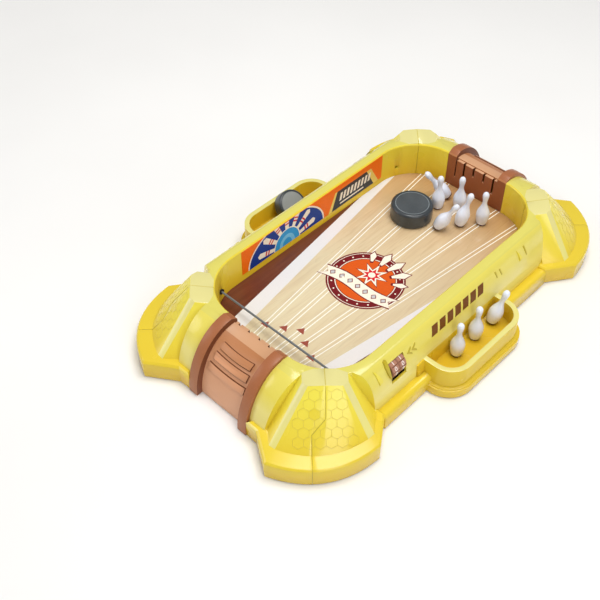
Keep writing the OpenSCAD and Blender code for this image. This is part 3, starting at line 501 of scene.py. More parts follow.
def printed_sheet(name, outline, ground, shapes, place, thick):
    """One closed sheet whose face is cut along each printed shape; later shapes lie on top."""
    inks = list(dict.fromkeys([ground] + [finish for _, finish in shapes]))
    points, edges = [], []
    for polygon in [outline] + [p for p, _ in shapes]:
        first = len(points)
        points += [Vector(p) for p in polygon]
        edges += [(first + i, first + (i + 1) % len(polygon)) for i in range(len(polygon))]
    flat, _, tris, *_ = delaunay_2d_cdt(points, edges, [], 0, 1e-5)
    bm = bmesh.new()
    top = [bm.verts.new(place(p.x, p.y, 0.0)) for p in flat]
    low = [bm.verts.new(place(p.x, p.y, -thick)) for p in flat]
    sides = set()
    for tri in tris:
        middle = sum((flat[i] for i in tri), Vector((0, 0))) / 3
        if not inside(middle, outline):
            continue
        shown = [finish for polygon, finish in shapes if inside(middle, polygon)]
        bm.faces.new([top[i] for i in tri]).material_index = inks.index((shown or [ground])[-1])
        bm.faces.new([low[i] for i in reversed(tri)])
        sides.update(zip(tri, tri[1:] + tri[:1]))
    for a, b in sorted(sides):
        if (b, a) not in sides:
            bm.faces.new([top[b], top[a], low[a], low[b]])
    bmesh.ops.delete(bm, geom=[v for v in bm.verts if not v.link_faces], context="VERTS")
    return bake(name, bm, inks)


def clip(polygon, length, height):
    """A polygon cut to a rectangle from (0, 0)."""
    for axis, bound, keep in ((0, 0.0, 1), (0, length, -1), (1, 0.0, 1), (1, height, -1)):
        out = []
        for p, q in zip(polygon, polygon[1:] + polygon[:1]):
            p_in, q_in = keep * (p[axis] - bound) >= 0, keep * (q[axis] - bound) >= 0
            if p_in:
                out.append(p)
            if p_in != q_in:
                t = (bound - p[axis]) / (q[axis] - p[axis])
                out.append((p[0] + t * (q[0] - p[0]), p[1] + t * (q[1] - p[1])))
        polygon = out
    return polygon


def circle(x, y, r, steps=96):
    return [polar(x, y, r, 2 * math.pi * i / steps) for i in range(steps)]


def star(x, y, out, inner, points, start=0.0):
    """Outline of a star with an outer and an inner radius."""
    return [polar(x, y, inner if i % 2 else out, start + math.pi * i / points)
            for i in range(2 * points)]


def along_ray(x, y, turn, stations):
    """Outline about a ray from (x, y), from its (distance, half width) stations."""
    run = Vector((math.cos(turn), math.sin(turn)))
    side, here = Vector((-run.y, run.x)), Vector((x, y))
    return ([here + run * far - side * half for far, half in stations]
            + [here + run * far + side * half for far, half in stations[::-1] if half])


# Lane

def lane_outline():
    """The well's plan less the sheet's clearance, with its four round corners."""
    r = CORNER_R - 0.3
    return [polar(sx * CORNER.x, sy * CORNER.y, r, math.pi * (k / 2 + i / 48))
            for k, (sx, sy) in enumerate(((1, 1), (-1, 1), (-1, -1), (1, -1)))
            for i in range(25)]


def wave(t):
    """Point of the banner's middle line."""
    return -37.5 + 76 * t, -29.0 + 9.5 * t + 2.6 * math.sin(2 * math.pi * t)


def banner(grow):
    """A waved banner across the roundel, with swallow-tailed ends."""
    half = 6.3 + grow
    line = [(-37.5 - grow + i / 24 * (76 + 2 * grow), wave(i / 24)[1]) for i in range(25)]
    return ([(x, y + half) for x, y in line] + [(32.5 + 0.4 * grow, -20.5)]
            + [(x, y - half) for x, y in line[::-1]] + [(-31.5 - 0.4 * grow, -28.4)])


def emblem():
    """A generic roundel: a spotted ring, a rayed star and a plain waved banner."""
    x, y = 0.6, -13.4
    burst = [(74, 24, 43, 7.5), (52, 24, 42, 7.5), (96, 24, 42, 7.5), (30, 25, 38, 6.0),
             (118, 25, 38, 6.0)]

    def kite(turn, near, far, width):
        waist = near + 0.62 * (far - near)
        return along_ray(x, y, math.radians(turn), [(near, width * 0.175), (waist, width / 2),
                                                    (far, 0)])

    def diamond(px, py, wide, tall):
        return [(px - wide, py), (px, py - tall), (px + wide, py), (px, py + tall)]

    shapes = [(circle(x, y, 36.2, 110), MAROON)]
    for turn, near, far, width in burst:
        shapes.append((kite(turn, near - 2, far + 1.6, width + 2.2), MAROON))
    shapes += [(circle(x, y, 34.6, 110), CREAM), (circle(x, y, 34.0, 110), MAROON)]
    for i in range(20):
        shapes.append((circle(*polar(x, y, 31.0, math.radians(9 + 18 * i)), 0.85, 10), CREAM))
    shapes += [(circle(x, y, 28.1), CREAM), (circle(x, y, 27.3), MAROON),
               (circle(x, y, 26.7), ORANGE)]
    for turn, near, far, width in burst:
        shapes.append((kite(turn, near - 2, far + 1.2, width + 1.8), MAROON))
        shapes.append((kite(turn, near, far, width), CREAM))
    shapes += [(star(x, y + 8.5, 16.6, 7.2, 8, 0.2), MAROON),
               (star(x, y + 8.5, 15.0, 6.4, 8, 0.2), CREAM),
               (star(x, y + 8.5, 9.0, 4.6, 8, 0.2), RED),
               (circle(x, y + 8.5, 3.4, 24), CREAM), (banner(1.1), MAROON), (banner(0.0), CREAM)]
    for i in range(7):
        spot = wave((i + 1) / 8)
        shapes += [(diamond(*spot, 3.1, 3.6), MAROON), (diamond(*spot, 2.1, 2.5), SILVER)]
    for turn in (196, 214, 322, 340):
        shapes.append((star(*polar(x, y, 20.5, math.radians(turn)), 1.9, 0.8, 4), CREAM))
    return shapes


def lane_print():
    """Boards, dark gutters, white strips, pairs of lines, arrows and the roundel."""
    shapes = []
    gutter, strip = (52, 0.137), (37.5, 0.155)
    for side in (-1, 1):
        def edge(border, y):
            return 1.0 + side * (border[0] + border[1] * (y + 133)), y
        shapes.append(([edge(gutter, -150), (side * 100, -150), (side * 100, 100),
                        edge(gutter, 100)], GUTTER))
        shapes.append(([edge(strip, -150), edge(gutter, -150), edge(gutter, 120),
                        edge(strip, 120)], STRIP))
    for near_x, far_x in ((-21.8, -57.5), (-8.0, -30.0), (1.2, 1.2), (10.0, 31.5), (24.0, 57.8)):
        for shift in (-1.9, 1.9):
            a, b = Vector((near_x + shift, -150)), Vector((far_x + shift, 150))
            run = (b - a).normalized()
            side = Vector((-run.y, run.x)) * 0.475
            shapes.append(([a - side, b - side, b + side, a + side], LINE))
    for x, y in ((-26.4, -113), (-11.6, -105), (1.2, -97), (13.6, -105), (28.0, -113)):
        shapes.append(([(x - 4.4, y - 3), (x + 4.4, y - 3), (x, y + 3.4)], ARROW))
    sheet = printed_sheet("lane_print", lane_outline(), WOOD, shapes + emblem(),
                          lambda x, y, z: (x, y, LANE_Z + z), 0.3)
    settle(sheet, node="lane_sheet")


lane_print()


# Wall labels

def label_shapes(length, height):
    """Half discs with tapered rays in a fan, and a slanted panel with a row of bars."""
    x = length * 0.30

    def arch(a, b):
        return [(x + a * math.cos(math.pi * i / 40), b * math.sin(math.pi * i / 40))
                for i in range(41)]

    shapes = [(arch(50.0, 34), CREAM), (arch(48.4, 32.4), NAVY)]
    for i in range(7):
        turn = math.radians(12 + 26 * i)
        shapes.append((along_ray(x, 0, turn, [(12, 1.65), (36, 3.3), (38.5, 0)]), CREAM))
        for near in (23.5, 26.8):
            shapes.append((along_ray(x, 0, turn, [(near, 2.6), (near + 1.7, 2.6)]), RED))
    shapes += [(arch(17.2, 19.2), CREAM), (arch(16.0, 18.0), SKY), (arch(10.0, 12.0), PALE_SKY),
               (arch(6.0, 7.6), SKY)]
    left, right, top = length * 0.595, length * 0.975, height * 0.76
    shapes += [([(left, 0), (right, 0), (right - 12, top), (left + 9, top)], STRAW),
               ([(left + 4.5, 0), (right - 7, 0), (right - 18.5, top), (left + 12, top)],
                CHARCOAL)]
    for i in range(9):
        px = left + 15 + i * 5.1
        shapes.append(([(px, 7.6), (px + 3.1, 7.6), (px + 5.1, 16.6), (px + 2.0, 16.6)], CREAM))
    shapes.append(([(left + 16, 3.2), (right - 22, 3.2), (right - 22.6, 4.9),
                    (left + 16.4, 4.9)], CREAM))
    cut = [(clip(polygon, length, height), finish) for polygon, finish in shapes]
    return [(polygon, finish) for polygon, finish in cut if len(polygon) > 2]


def wall_label(name, node, turn):
    """The printed label on a long inner wall; turn is 1 on the left wall, -1 on the right."""
    low, high = (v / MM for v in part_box(node))
    length, height = high.y - low.y, high.z - low.z
    face, start = (high.x, low.y) if turn > 0 else (low.x, high.y)
    label = printed_sheet(name, [(0, 0), (length, 0), (length, height), (0, height)],
                          LABEL_ORANGE, label_shapes(length, height),
                          lambda u, v, w: (face + turn * w, start + turn * u, low.z + v),
                          high.x - low.x)
    settle(label, node=node)


wall_label("left_label_print", "left_wall_label", 1)
wall_label("right_label_print", "right_wall_label", -1)


# Yellow mouldings and brown caps

def on_panel_strip(u, v, z):
    """Whether a point lies on one of the narrow strips along a buttress panel's edges."""
    up = clamped((z - 19.0) / 41.0)
    return any((Vector((u, v)) - Vector(foot).lerp(Vector(top), up)).length < 2.7
               for foot, top in (((91.5, -46.0), (62.8, -19.8)), ((83.0, 32.0), (62.8, 11.8))))


def yellow_zone(at, facing):
    """Painted light and shade of a yellow face, as a finish chosen by its place and the way it
    faces, or None for the plain one.
    """
    x, y, z = abs(at.x), abs(at.y), at.z
    nx, ny = facing.x * math.copysign(1, at.x), facing.y * math.copysign(1, at.y)
    cx, cy = x - CORNER.x, y - CORNER.y
    u, v = (cx + cy) * math.sqrt(0.5), (cx - cy) * math.sqrt(0.5)
    along = at.y * math.copysign(1, at.x) - POCKET_Y
    ahead = facing.y * math.copysign(1, at.x)
    # Up-facing rim tops and buttress top facets: painted highlight.
    if z > 57.3 and facing.z > 0.88:
        return YELLOW_FACET_HIGHLIGHT if z > 58.06 else YELLOW_RIM_HIGHLIGHT
    # Pocket rim tops: painted highlight.
    if abs(z - POCKET_RIM) < 0.6 and facing.z > 0.9:
        return YELLOW_FACET_HIGHLIGHT
    # Narrow strips along the buttress panels' edges: painted highlight.
    if z > 19.4 and u > 55 and facing.z < 0.9 and nx + ny > 0.5 and on_panel_strip(u, v, z):
        return YELLOW_FACET_HIGHLIGHT
    # Far end's outer slope: painted light and shade.
    if y > 152.5 and abs(nx) < 0.22 and ny > 0.03 and z > 2:
        return YELLOW_SLOPE_LIT_AND_SHADED
    # Inner walls of a pocket on the rail's side: painted shade.
    if z < 29.6 and 85.5 < x < 102 and abs(along) < 47.5 and nx > 0.5:
        return YELLOW_WALL_SHADE
    # Side rails' outer slopes: painted light and shade.
    if 85.5 < x < 101.6 and abs(ny) < 0.2 and nx > 0.05 and z > CREASE_Z:
        return YELLOW_SLOPE_LIT_AND_SHADED
    # Curved inner walls of the well's corners: painted shade.
    if 18 < z < 57.4:
        ox, oy = max(cx, 0.0), max(cy, 0.0)
        if abs(math.hypot(ox, oy) - CORNER_R) < 1.4 and nx * ox + ny * oy < -20:
            return YELLOW_WALL_SHADE
    # Pocket floors and the pocket's inner walls: painted shade.
    if 11.5 < z < 29.4 and 100.5 < x < 129 and abs(along) < 48 and (
            facing.z > 0.9 or nx < -0.2 or (abs(along) > 26 and ahead * along < -9)):
        return YELLOW_WALL_SHADE
    # Outer walls of a pocket: painted shade.
    if 10.2 < z < 29.4 and 100.5 < x < 134 and abs(along) < 53 and abs(facing.z) < 0.5 and (
            nx > 0.2 or ahead * along > 9):
        return YELLOW_POCKET_SHADE
    return None


def brown_zone(at, facing):
    """Finish of a cap's face by its place and the way it faces, with painted highlight and painted
    shade, or None for the plain one.
    """
    x, y, z = abs(at.x), abs(at.y), at.z
    ny = facing.y * math.copysign(1, at.y)
    # Flat tops of the lip and ledges: painted highlight.
    if facing.z > 0.95 and 53 < z < 56 and x < 24.5:
        return BROWN_LIP_HIGHLIGHT
    # Side faces of the bands and slots: painted shade.
    if abs(facing.x) > 0.85 and x < 25 and z > 2:
        return BROWN_SIDE_SHADE
    # Inner wall facing the lane: painted shade.
    if ny < -0.85 and y < 148.5:
        return BROWN_WALL_SHADE
    # Crest faces turned well away from the crest's own slope, such as slot walls: painted shade.
    if x < 23.5 and y > CAP_Y and z > 3:
        slope = Vector((0, (y - CAP_Y) / CAP_RUN ** 2, (z - CAP_Z) / CAP_RISE ** 2)).normalized()
        if facing.z * slope.z + ny * slope.y < 0.6:
            return BROWN_SIDE_SHADE
    if x > 24.5 and y > 148.5:
        return BROWN_BAND
    return None


def moulding(name, node, width, finishes, zone):
    """A packed shell with its sharp edges rounded and given the second finish, a pale painted
    highlight on the yellow mouldings, and each face in the finish of its zone.
    """
    mesh = bpy.data.meshes.new(name)
    bm = packed_mesh(node)
    bm.to_mesh(mesh)
    bm.free()
    with editing(mesh) as bm:
        bmesh.ops.dissolve_limit(bm, angle_limit=math.radians(0.4), verts=bm.verts,
                                 edges=bm.edges)
    obj = dress(link(bpy.data.objects.new(name, mesh)), finishes)
    edge = obj.modifiers.new("rounded_edge", "BEVEL")
    edge.width = width * MM
    edge.segments = 2
    edge.limit_method = "ANGLE"
    edge.angle_limit = math.radians(28)
    # The rounded edge faces take the second finish: on the yellow mouldings a pale painted
    # highlight.
    edge.material = 1
    applied(obj)
    with editing(obj.data) as bm:
        bmesh.ops.triangulate(bm, faces=[f for f in bm.faces if len(f.verts) > 4])
    for face in obj.data.polygons:
        finish = zone(face.center / MM, face.normal)
        if finish and (face.material_index == 0 or finish in OVER_EDGES):
            face.material_index = finishes.index(finish)
    return settle(dress(obj, finishes, 35), node=node)


mouldings = [moulding(piece, node, 0.6, YELLOWS, yellow_zone) for piece, node in (
    ("near_end_moulding", "near_end_frame"), ("far_end_moulding", "far_end_frame"),
    ("left_rail_moulding", "left_side_rail"), ("right_rail_moulding", "right_side_rail"))]
caps = [moulding(end + "_cap_moulding", end + "_end_cap", 0.3, BROWNS, brown_zone)
        for end in ("near", "far")]


# Repeats made by geometry nodes

def node_tree(name, inputs, kinds, links):
    """A geometry node tree with named inputs; each link is (node, output, node, input)."""
    tree = bpy.data.node_groups.new(name, "GeometryNodeTree")
    tree.interface.new_socket("Geometry", in_out="OUTPUT", socket_type="NodeSocketGeometry")
    for key, kind in {"Geometry": "Geometry", **inputs, "Finish": "Material"}.items():
        tree.interface.new_socket(key, in_out="INPUT", socket_type="NodeSocket" + kind)
    kinds = {"start": "NodeGroupInput", **kinds, "real": "GeometryNodeRealizeInstances",
             "paint": "GeometryNodeSetMaterial", "end": "NodeGroupOutput"}
    made = {key: tree.nodes.new(kind) for key, kind in kinds.items()}
    for a, out, b, into in links + [("real", "Geometry", "paint", "Geometry"),
                                    ("start", "Finish", "paint", "Material"),
                                    ("paint", "Geometry", "end", "Geometry")]:
        tree.links.new(made[a].outputs[out], made[b].inputs[into])
    return tree, made


def ridge_tree():
    """Sweeps a small round ridge along every line of a wire mesh."""
    tree, made = node_tree(
        "ridge_along_lines", {"Ridge Radius": "Float", "Ridge Sides": "Int"},
        {"line": "GeometryNodeMeshToCurve", "ring": "GeometryNodeCurvePrimitiveCircle",
         "sweep": "GeometryNodeCurveToMesh"},
        [("start", "Geometry", "line", "Mesh"), ("start", "Ridge Radius", "ring", "Radius"),
         ("start", "Ridge Sides", "ring", "Resolution"), ("line", "Curve", "sweep", "Curve"),
         ("ring", "Curve", "sweep", "Profile Curve"), ("sweep", "Mesh", "real", "Geometry")])
    made["sweep"].inputs["Fill Caps"].default_value = True
    return tree


def repeat_tree():
    """Puts one fixing on each point, each turned by its own fixed random angle."""
    tree, made = node_tree(
        "fixing_on_each_point", {"Fixing": "Object", "Seed": "Int"},
        {"part": "GeometryNodeObjectInfo", "spin": "FunctionNodeRandomValue",
         "turn": "ShaderNodeCombineXYZ", "place": "GeometryNodeInstanceOnPoints"},
        [("start", "Geometry", "place", "Points"), ("start", "Fixing", "part", "Object"),
         ("part", "Geometry", "place", "Instance"), ("start", "Seed", "spin", "Seed"),
         ("turn", "Vector", "place", "Rotation"), ("place", "Instances", "real", "Geometry")])
    made["part"].transform_space = "RELATIVE"
    made["spin"].data_type = "FLOAT"
    least, most = [i for i in made["spin"].inputs if i.type == "VALUE"][:2]
    least.default_value, most.default_value = 0.0, math.tau
    angle = next(o for o in made["spin"].outputs if o.type == "VALUE")
    tree.links.new(angle, made["turn"].inputs["Z"])
    return tree


RIDGES = ridge_tree()
FIXINGS = repeat_tree()


def run_tree(obj, tree, values):
    """Runs a tree on an object with the given inputs and keeps the result as its mesh."""
    grown = obj.modifiers.new(tree.name, "NODES")
    grown.node_group = tree
    for item in tree.interface.items_tree:
        if item.in_out == "INPUT" and item.name in values:
            grown[item.identifier] = values[item.name]
    return applied(obj)


def ridges(name, chains, radius, finish, sides=6):
    """Round ridges along chains of points."""
    points, lines = [], []
    for chain in chains:
        first = len(points)
        points += [Vector(p) * MM for p in chain]
        lines += [(first + i, first + i + 1) for i in range(len(chain) - 1)]
    mesh = bpy.data.meshes.new(name)
    mesh.from_pydata(points, lines, [])
    with editing(mesh) as bm:
        bmesh.ops.remove_doubles(bm, verts=bm.verts, dist=2e-6)
    obj = link(bpy.data.objects.new(name, mesh))
    run_tree(obj, RIDGES, {"Ridge Radius": radius * MM, "Ridge Sides": sides,
                           "Finish": finish.material})
    obj.data.shade_smooth()
    settle(obj)


def surface_of(objects):
    """Search tree over the faces of several objects."""
    whole = bmesh.new()
    for obj in objects:
        whole.from_mesh(obj.data)
    bmesh.ops.triangulate(whole, faces=whole.faces)
    found = BVHTree.FromBMesh(whole)
    whole.free()
    return found


def cast(skin, start, target, reach, least):
    """Where a line from start towards target meets a surface that faces it, and its normal."""
    aim = (target - start).normalized()
    place, normal, _, _ = skin.ray_cast(start, aim, reach)
    return None if place is None or normal.dot(-aim) < least else (place / MM, normal)


def corner_point(u, v, z, sx, sy):
    """Point of a corner from its own axes: u out along the diagonal, v across it; in metres."""
    d = math.sqrt(0.5)
    return Vector((sx * (CORNER.x + (u + v) * d), sy * (CORNER.y + (u - v) * d), z)) * MM


# Honeycomb and seams of the corner buttresses

def hexagon_cells(pitch, rows, columns):
    """Corners of each cell of a field of hexagons with upright sides, as (across, up)."""
    a = pitch / math.sqrt(3)
    cells = []
    for row in range(rows):
        for column in range(-columns, columns + 1):
            cx, cy = (column + 0.5 * (row % 2)) * pitch, row * 1.5 * a
            cells.append([(round(cx + a * math.sin(math.radians(60 * k)), 3),
                           round(cy + a * math.cos(math.radians(60 * k)), 3)) for k in range(6)])
    return cells


def plate(bm, found, proud, sunk):
    """A thin closed plate on points found on a surface: its middle, then its rim."""
    top, low = ([bm.verts.new(place + normal * d) for place, normal in found]
                for d in (proud, -sunk))
    for i in range(1, len(found)):
        j = i % (len(found) - 1) + 1
        bm.faces.new([top[0], top[i], top[j]])
        bm.faces.new([low[0], low[j], low[i]])
        bm.faces.new([top[i], low[i], low[j], top[j]])


def seam_on_panel(up):
    """Place of the corner seam across a panel, at a distance up from the panel's foot."""
    return -JOG * clamped((25.9 - up) / 12.2)


def honeycomb(skin, sx, sy, name):
    """Fine raised honeycomb of whole cells on a buttress's panel, its ridges darker as painted
    shade, some cells a deeper tone.
    """
    lean, foot_u, foot_z = math.radians(41.0), 99.0, 21.5
    steps, filled, inset = 8, 0.3, 0.93

    def spot(across, up):
        u, z = foot_u - up * math.sin(lean), foot_z + up * math.cos(lean)
        start = corner_point(u + 40 * math.cos(lean), MID_V + across, z + 40 * math.sin(lean),
                             sx, sy)
        return cast(skin, start, corner_point(u, MID_V + across, z, sx, sy), 0.09, 0.8)

    def on_panel(across, up):
        return 1.0 < up < 51.0 and -37.0 + 24.0 * up / 54 < across < 32.0 - 19.0 * up / 54

    def off_seam(across, up):
        return abs(across - seam_on_panel(up)) > (1.1 if 13.0 < up < 27.0 else 0.7)

    sides, deep = {}, bmesh.new()
    pick = random.Random(5)
    for cell in hexagon_cells(pitch=8.6, rows=9, columns=6):
        if not all(on_panel(*p) for p in cell):
            continue
        for p, q in zip(cell, cell[1:] + cell[:1]):
            sides[tuple(sorted((p, q)))] = True
        mx, my = (sum(p[i] for p in cell) / 6 for i in range(2))
        inner = [(mx + inset * (a - mx), my + inset * (b - my)) for a, b in cell]
        if (pick.random() < filled and all(off_seam(*p) for p in inner)
                and len({across > seam_on_panel(up) for across, up in inner}) == 1):
            rim = [(a + (c - a) * t / 4, b + (d - b) * t / 4)
                   for (a, b), (c, d) in zip(inner, inner[1:] + inner[:1]) for t in range(4)]
            found = [spot(*p) for p in [(mx, my)] + rim]
            if all(found) and all(f[1].dot(found[0][1]) > 0.997 for f in found):
                plate(deep, found, 0.07, 0.3)
    settle(bake(name + "_cells", deep, HONEYCOMB_CELL))
    chains = []
    for (x1, y1), (x2, y2) in sides:
        chain = []
        for t in range(steps + 1):
            p = (x1 + (x2 - x1) * t / steps, y1 + (y2 - y1) * t / steps)
            found = spot(*p) if off_seam(*p) else None
            if found is not None:
                chain.append(found[0])
            if (found is None or t == steps) and len(chain) > 1:
                chains.append(chain)
            if found is None:
                chain = []
    ridges(name, chains, 0.2, HONEYCOMB)


def seam_plan(u):
    """Place of the corner seam across a buttress, at a distance u from the corner's centre."""
    return MID_V - JOG * clamped((u - JOG_START) / JOG_RUN)


def seam_bead(skin, sx, sy, name):
    """Golden joint bead in the seam, from the well's wall over the top to the foot."""
    chain = []

    def lay(places, way, lean=0.0):
        """Adds points found on both sides of the seam and sunk a little below the surface."""
        for u, v, z in places:
            skew = lean if JOG_START < u < JOG_START + JOG_RUN else 0.0
            hits = [cast(skin, corner_point(u - side * skew, v + side, z, sx, sy),
                         corner_point(u + way[0] - side * skew, v + side, z + way[1], sx, sy),
                         0.06, 0.3) for side in (-1.0, 1.0)]
            if all(hits):
                normal = (hits[0][1] + hits[1][1]).normalized()
                chain.append((hits[0][0] + hits[1][0]) / 2 - normal * 0.3)

    lay([(30.0, MID_V, 24.0 + i * 1.5) for i in range(22)], (1, 0))
    lay([(u, seam_plan(u), 75.0) for u in (46.0 + i * 0.8 for i in range(80))], (0, -1), -0.8)
    lay([(135.0, seam_plan(135.0), 17.0 - i * 1.4) for i in range(11)], (-1, 0))
    ridges(name, [chain], 0.45, YELLOW_JOINT_AND_RELIEF_SHADE, sides=8)


skin = surface_of(mouldings)
for sx, sy, name in ((1, -1, "near_right"), (-1, -1, "near_left"), (1, 1, "far_right"),
                     (-1, 1, "far_left")):
    honeycomb(skin, sx, sy, name + "_honeycomb")
    seam_bead(skin, sx, sy, name + "_seam_bead")


def bar_outlines(skin, turn, name):
    """Fine line of painted shade round each of the three raised bars of a cap."""
    gap, half_width, sag = 0.35, 3.2, 1.2
    chains = []
    for i, angle in enumerate((35.9, 48.8, 61.7)):
        a = math.radians(angle)
        half = (41.0 - 3.5 * i) / 2
        lean = math.atan2(CAP_RISE * math.cos(a), CAP_RUN * math.sin(a))
        out = Vector((0, math.sin(lean), math.cos(lean)))
        down = Vector((0, math.cos(lean), -math.sin(lean)))
        middle = Vector((0, CAP_Y + CAP_RUN * math.cos(a), CAP_Z + CAP_RISE * math.sin(a)))
        edge = [(half * k / 12 * way, way * half_width - sag / 2 + sag * (1 - (k / 12) ** 2))
                for way in (-1, 1) for k in range(-12, 13)]
        chain = []
        for x, d in edge + edge[:1]:
            foot = middle + Vector((x * (1 + gap / half), 0, 0)) + down * (
                d + math.copysign(gap, d - 0.3))
            found = cast(skin, half_turned(foot + out * 6, turn) * MM,
                         half_turned(foot, turn) * MM, 0.012, -1.0)
            if found:
                chain.append(found[0] + found[1] * 0.02)
        chains.append(chain)
    ridges(name, chains, 0.28, BROWN_SIDE_SHADE)


shell = surface_of(caps)
bar_outlines(shell, False, "far_bar_outlines")
bar_outlines(shell, True, "near_bar_outlines")


# Screws and feet

def cross_screw(length):
    """Pan-headed screw with a cross recess and a ridged shank, head down, under z = 0."""
    head = [(0.0, -SCREW_HEAD), (1.5, -SCREW_HEAD), (2.15, -1.38), (2.45, -0.9), (2.5, -0.12),
            (2.38, 0.0)]
    shank = [(1.0, 0.0)]
    z = 0.5
    while z < length - 1.4:
        shank += [(1.0, z), (1.14, z + 0.3), (1.0, z + 0.6)]
        z += 0.9
    bm = bmesh.new()
    lathe(bm, head + shank + [(1.0, length - 1.2), (0.0, length - 0.02)], 24)
    screw = bake("screw_blank", bm, SCREW, 40)
    bm = bmesh.new()
    for wide, deep in ((3.0, 0.62), (0.62, 3.0)):
        for v in bmesh.ops.create_cube(bm, size=1.0)["verts"]:
            taper, z = (1.0, -1.9) if v.co.z < 0 else (0.55, -0.75)
            v.co = Vector((v.co.x * wide * taper, v.co.y * deep * taper, z))
    tool = bake("recess_tool", bm, SCREW)
    cut = screw.modifiers.new("cross_recess", "BOOLEAN")
    cut.object = tool
    cut.solver = "EXACT"
    cut.use_self = True
    applied(screw)
    bpy.data.objects.remove(tool)
    return screw


def rubber_foot():
    """Round foot with a soft edge and a ring groove in its sole."""
    bm = bmesh.new()
    lathe(bm, [(0.0, 0.35), (3.2, 0.35), (3.6, 0.0), (6.9, 0.0), (7.7, 0.25), (8.0, 0.9),
               (8.0, 2.9), (7.7, 3.3), (7.3, 3.4), (0.0, 3.4)], 48)
    return bake("foot_blank", bm, FOOT, 35)


def shells(node):
    """Middle, lowest and highest height of each separate solid of a node, in millimetres."""
    bm = packed_mesh(node)
    left, found = set(bm.verts), []
    while left:
        seed = [left.pop()]
        group = list(seed)
        while seed:
            for e in seed.pop().link_edges:
                for w in e.verts:
                    if w in left:
                        left.remove(w)
                        seed.append(w)
                        group.append(w)
        xs, ys, zs = ([v.co[i] / MM for v in group] for i in range(3))
        found.append(((max(xs) + min(xs)) / 2, (max(ys) + min(ys)) / 2, min(zs), max(zs)))
    bm.free()
    return found


def repeat_on(node, name, blank_maker, finish, lift, seed):
    """One detailed fixing on the place of each plain one of a node."""
    spots = shells(node)
    blank = blank_maker(spots[0][3] - spots[0][2] - lift) if lift else blank_maker()
    mesh = bpy.data.meshes.new(name)
    mesh.from_pydata([Vector((x, y, z + lift)) * MM for x, y, z, _ in spots], [], [])
    obj = link(bpy.data.objects.new(name, mesh))
    run_tree(obj, FIXINGS, {"Fixing": blank, "Seed": seed, "Finish": finish.material})
    bpy.data.objects.remove(blank)
    obj.data.shade_smooth()
    obj.data.set_sharp_from_angle(angle=math.radians(35))
    settle(obj, node=node)


for seed, held in enumerate(("counter", "frame", "cap", "lane_board"), 3):
    repeat_on(held + "_screws", held + "_cross_screws", cross_screw, SCREW,
              SCREW_HEAD, seed)
repeat_on("rubber_feet", "soft_edged_feet", rubber_foot, FOOT, 0.0, 9)


# Pins

def pin_profile():
    """A pin's (radius, height) outline: belly, neck and round head."""
    stations = [(0.0, PIN_FOOT_R), (11.4, 6.5), (26.22, 2.2), (33.9, 3.1)]
    points = []
    for k, ((z0, r0), (z1, r1)) in enumerate(zip(stations, stations[1:])):
        for t in (i / 14 for i in range(14)):
            share = (1 - math.cos(math.pi * t)) / 2 if k else math.sin(math.pi * t / 2)
            points.append((r0 + (r1 - r0) * share, z0 + (z1 - z0) * t))
    head = [polar(0.0, 0.0, 1.0, math.pi / 2 * i / 12) for i in range(12)] + [(0.0, 1.0)]
    return points + [(3.1 * c, 33.9 + 4.1 * s) for c, s in head]


def stand(x, y, lean, turn, floor):
    """Place of a pin that leans over the edge of its foot."""
    edge = Matrix.Translation((PIN_FOOT_R, 0, 0))
    return (Matrix.Translation((x, y, floor)) @ Matrix.Rotation(math.radians(turn), 4, "Z")
            @ edge @ Matrix.Rotation(math.radians(lean), 4, "Y") @ edge.inverted())


def turned_pin(body, place, floor):
    """A white pin and its dark foot ring."""
    fit = stand(*place, floor)
    upper = [p for p in pin_profile() if p[1] > PIN_BASE_T + 0.4]
    r0 = PIN_FOOT_R + 1.9 * math.sin(math.pi / 2 * PIN_BASE_T / 11.4)
    bm = bmesh.new()
    lathe(bm, [(0.0, PIN_BASE_T), (r0 - 0.15, PIN_BASE_T), (r0 + 0.02, PIN_BASE_T + 0.15)] + upper,
          48, fit)
    settle(bake(body + "_turned", bm, PIN_WHITE, 50), body, body)
    bm = bmesh.new()
    lathe(bm, [(0.0, 0.0), (4.4, 0.0), (4.6, 0.12), (r0 - 0.05, PIN_BASE_T - 0.12),
               (r0 - 0.2, PIN_BASE_T - 0.02), (0.0, PIN_BASE_T - 0.02)], 48, fit)
    settle(bake(body + "_foot_ring", bm, PIN_BASE, 35), body, body + "_base")


LANE_PINS = [(-15, 110.7, 0, 340), (-15.4, 129.2, 40, 225), (0.7, 124.1, 0, 25),
             (3.1, 85.9, 28, 14), (16.2, 104.1, 12, 48), (30, 121.2, 0, 330)]
POCKET_PINS = [(108.3, -19, 0, 0), (108.3, 7, 0, 0), (108, 31, 15, 52)]
for family, places, floor in (("lane", LANE_PINS, LANE_Z), ("pocket", POCKET_PINS, POCKET_FLOOR)):
    for number, place in enumerate(places, 1):
        turned_pin(family + "_pin_%d" % number, place, floor)


# Pucks

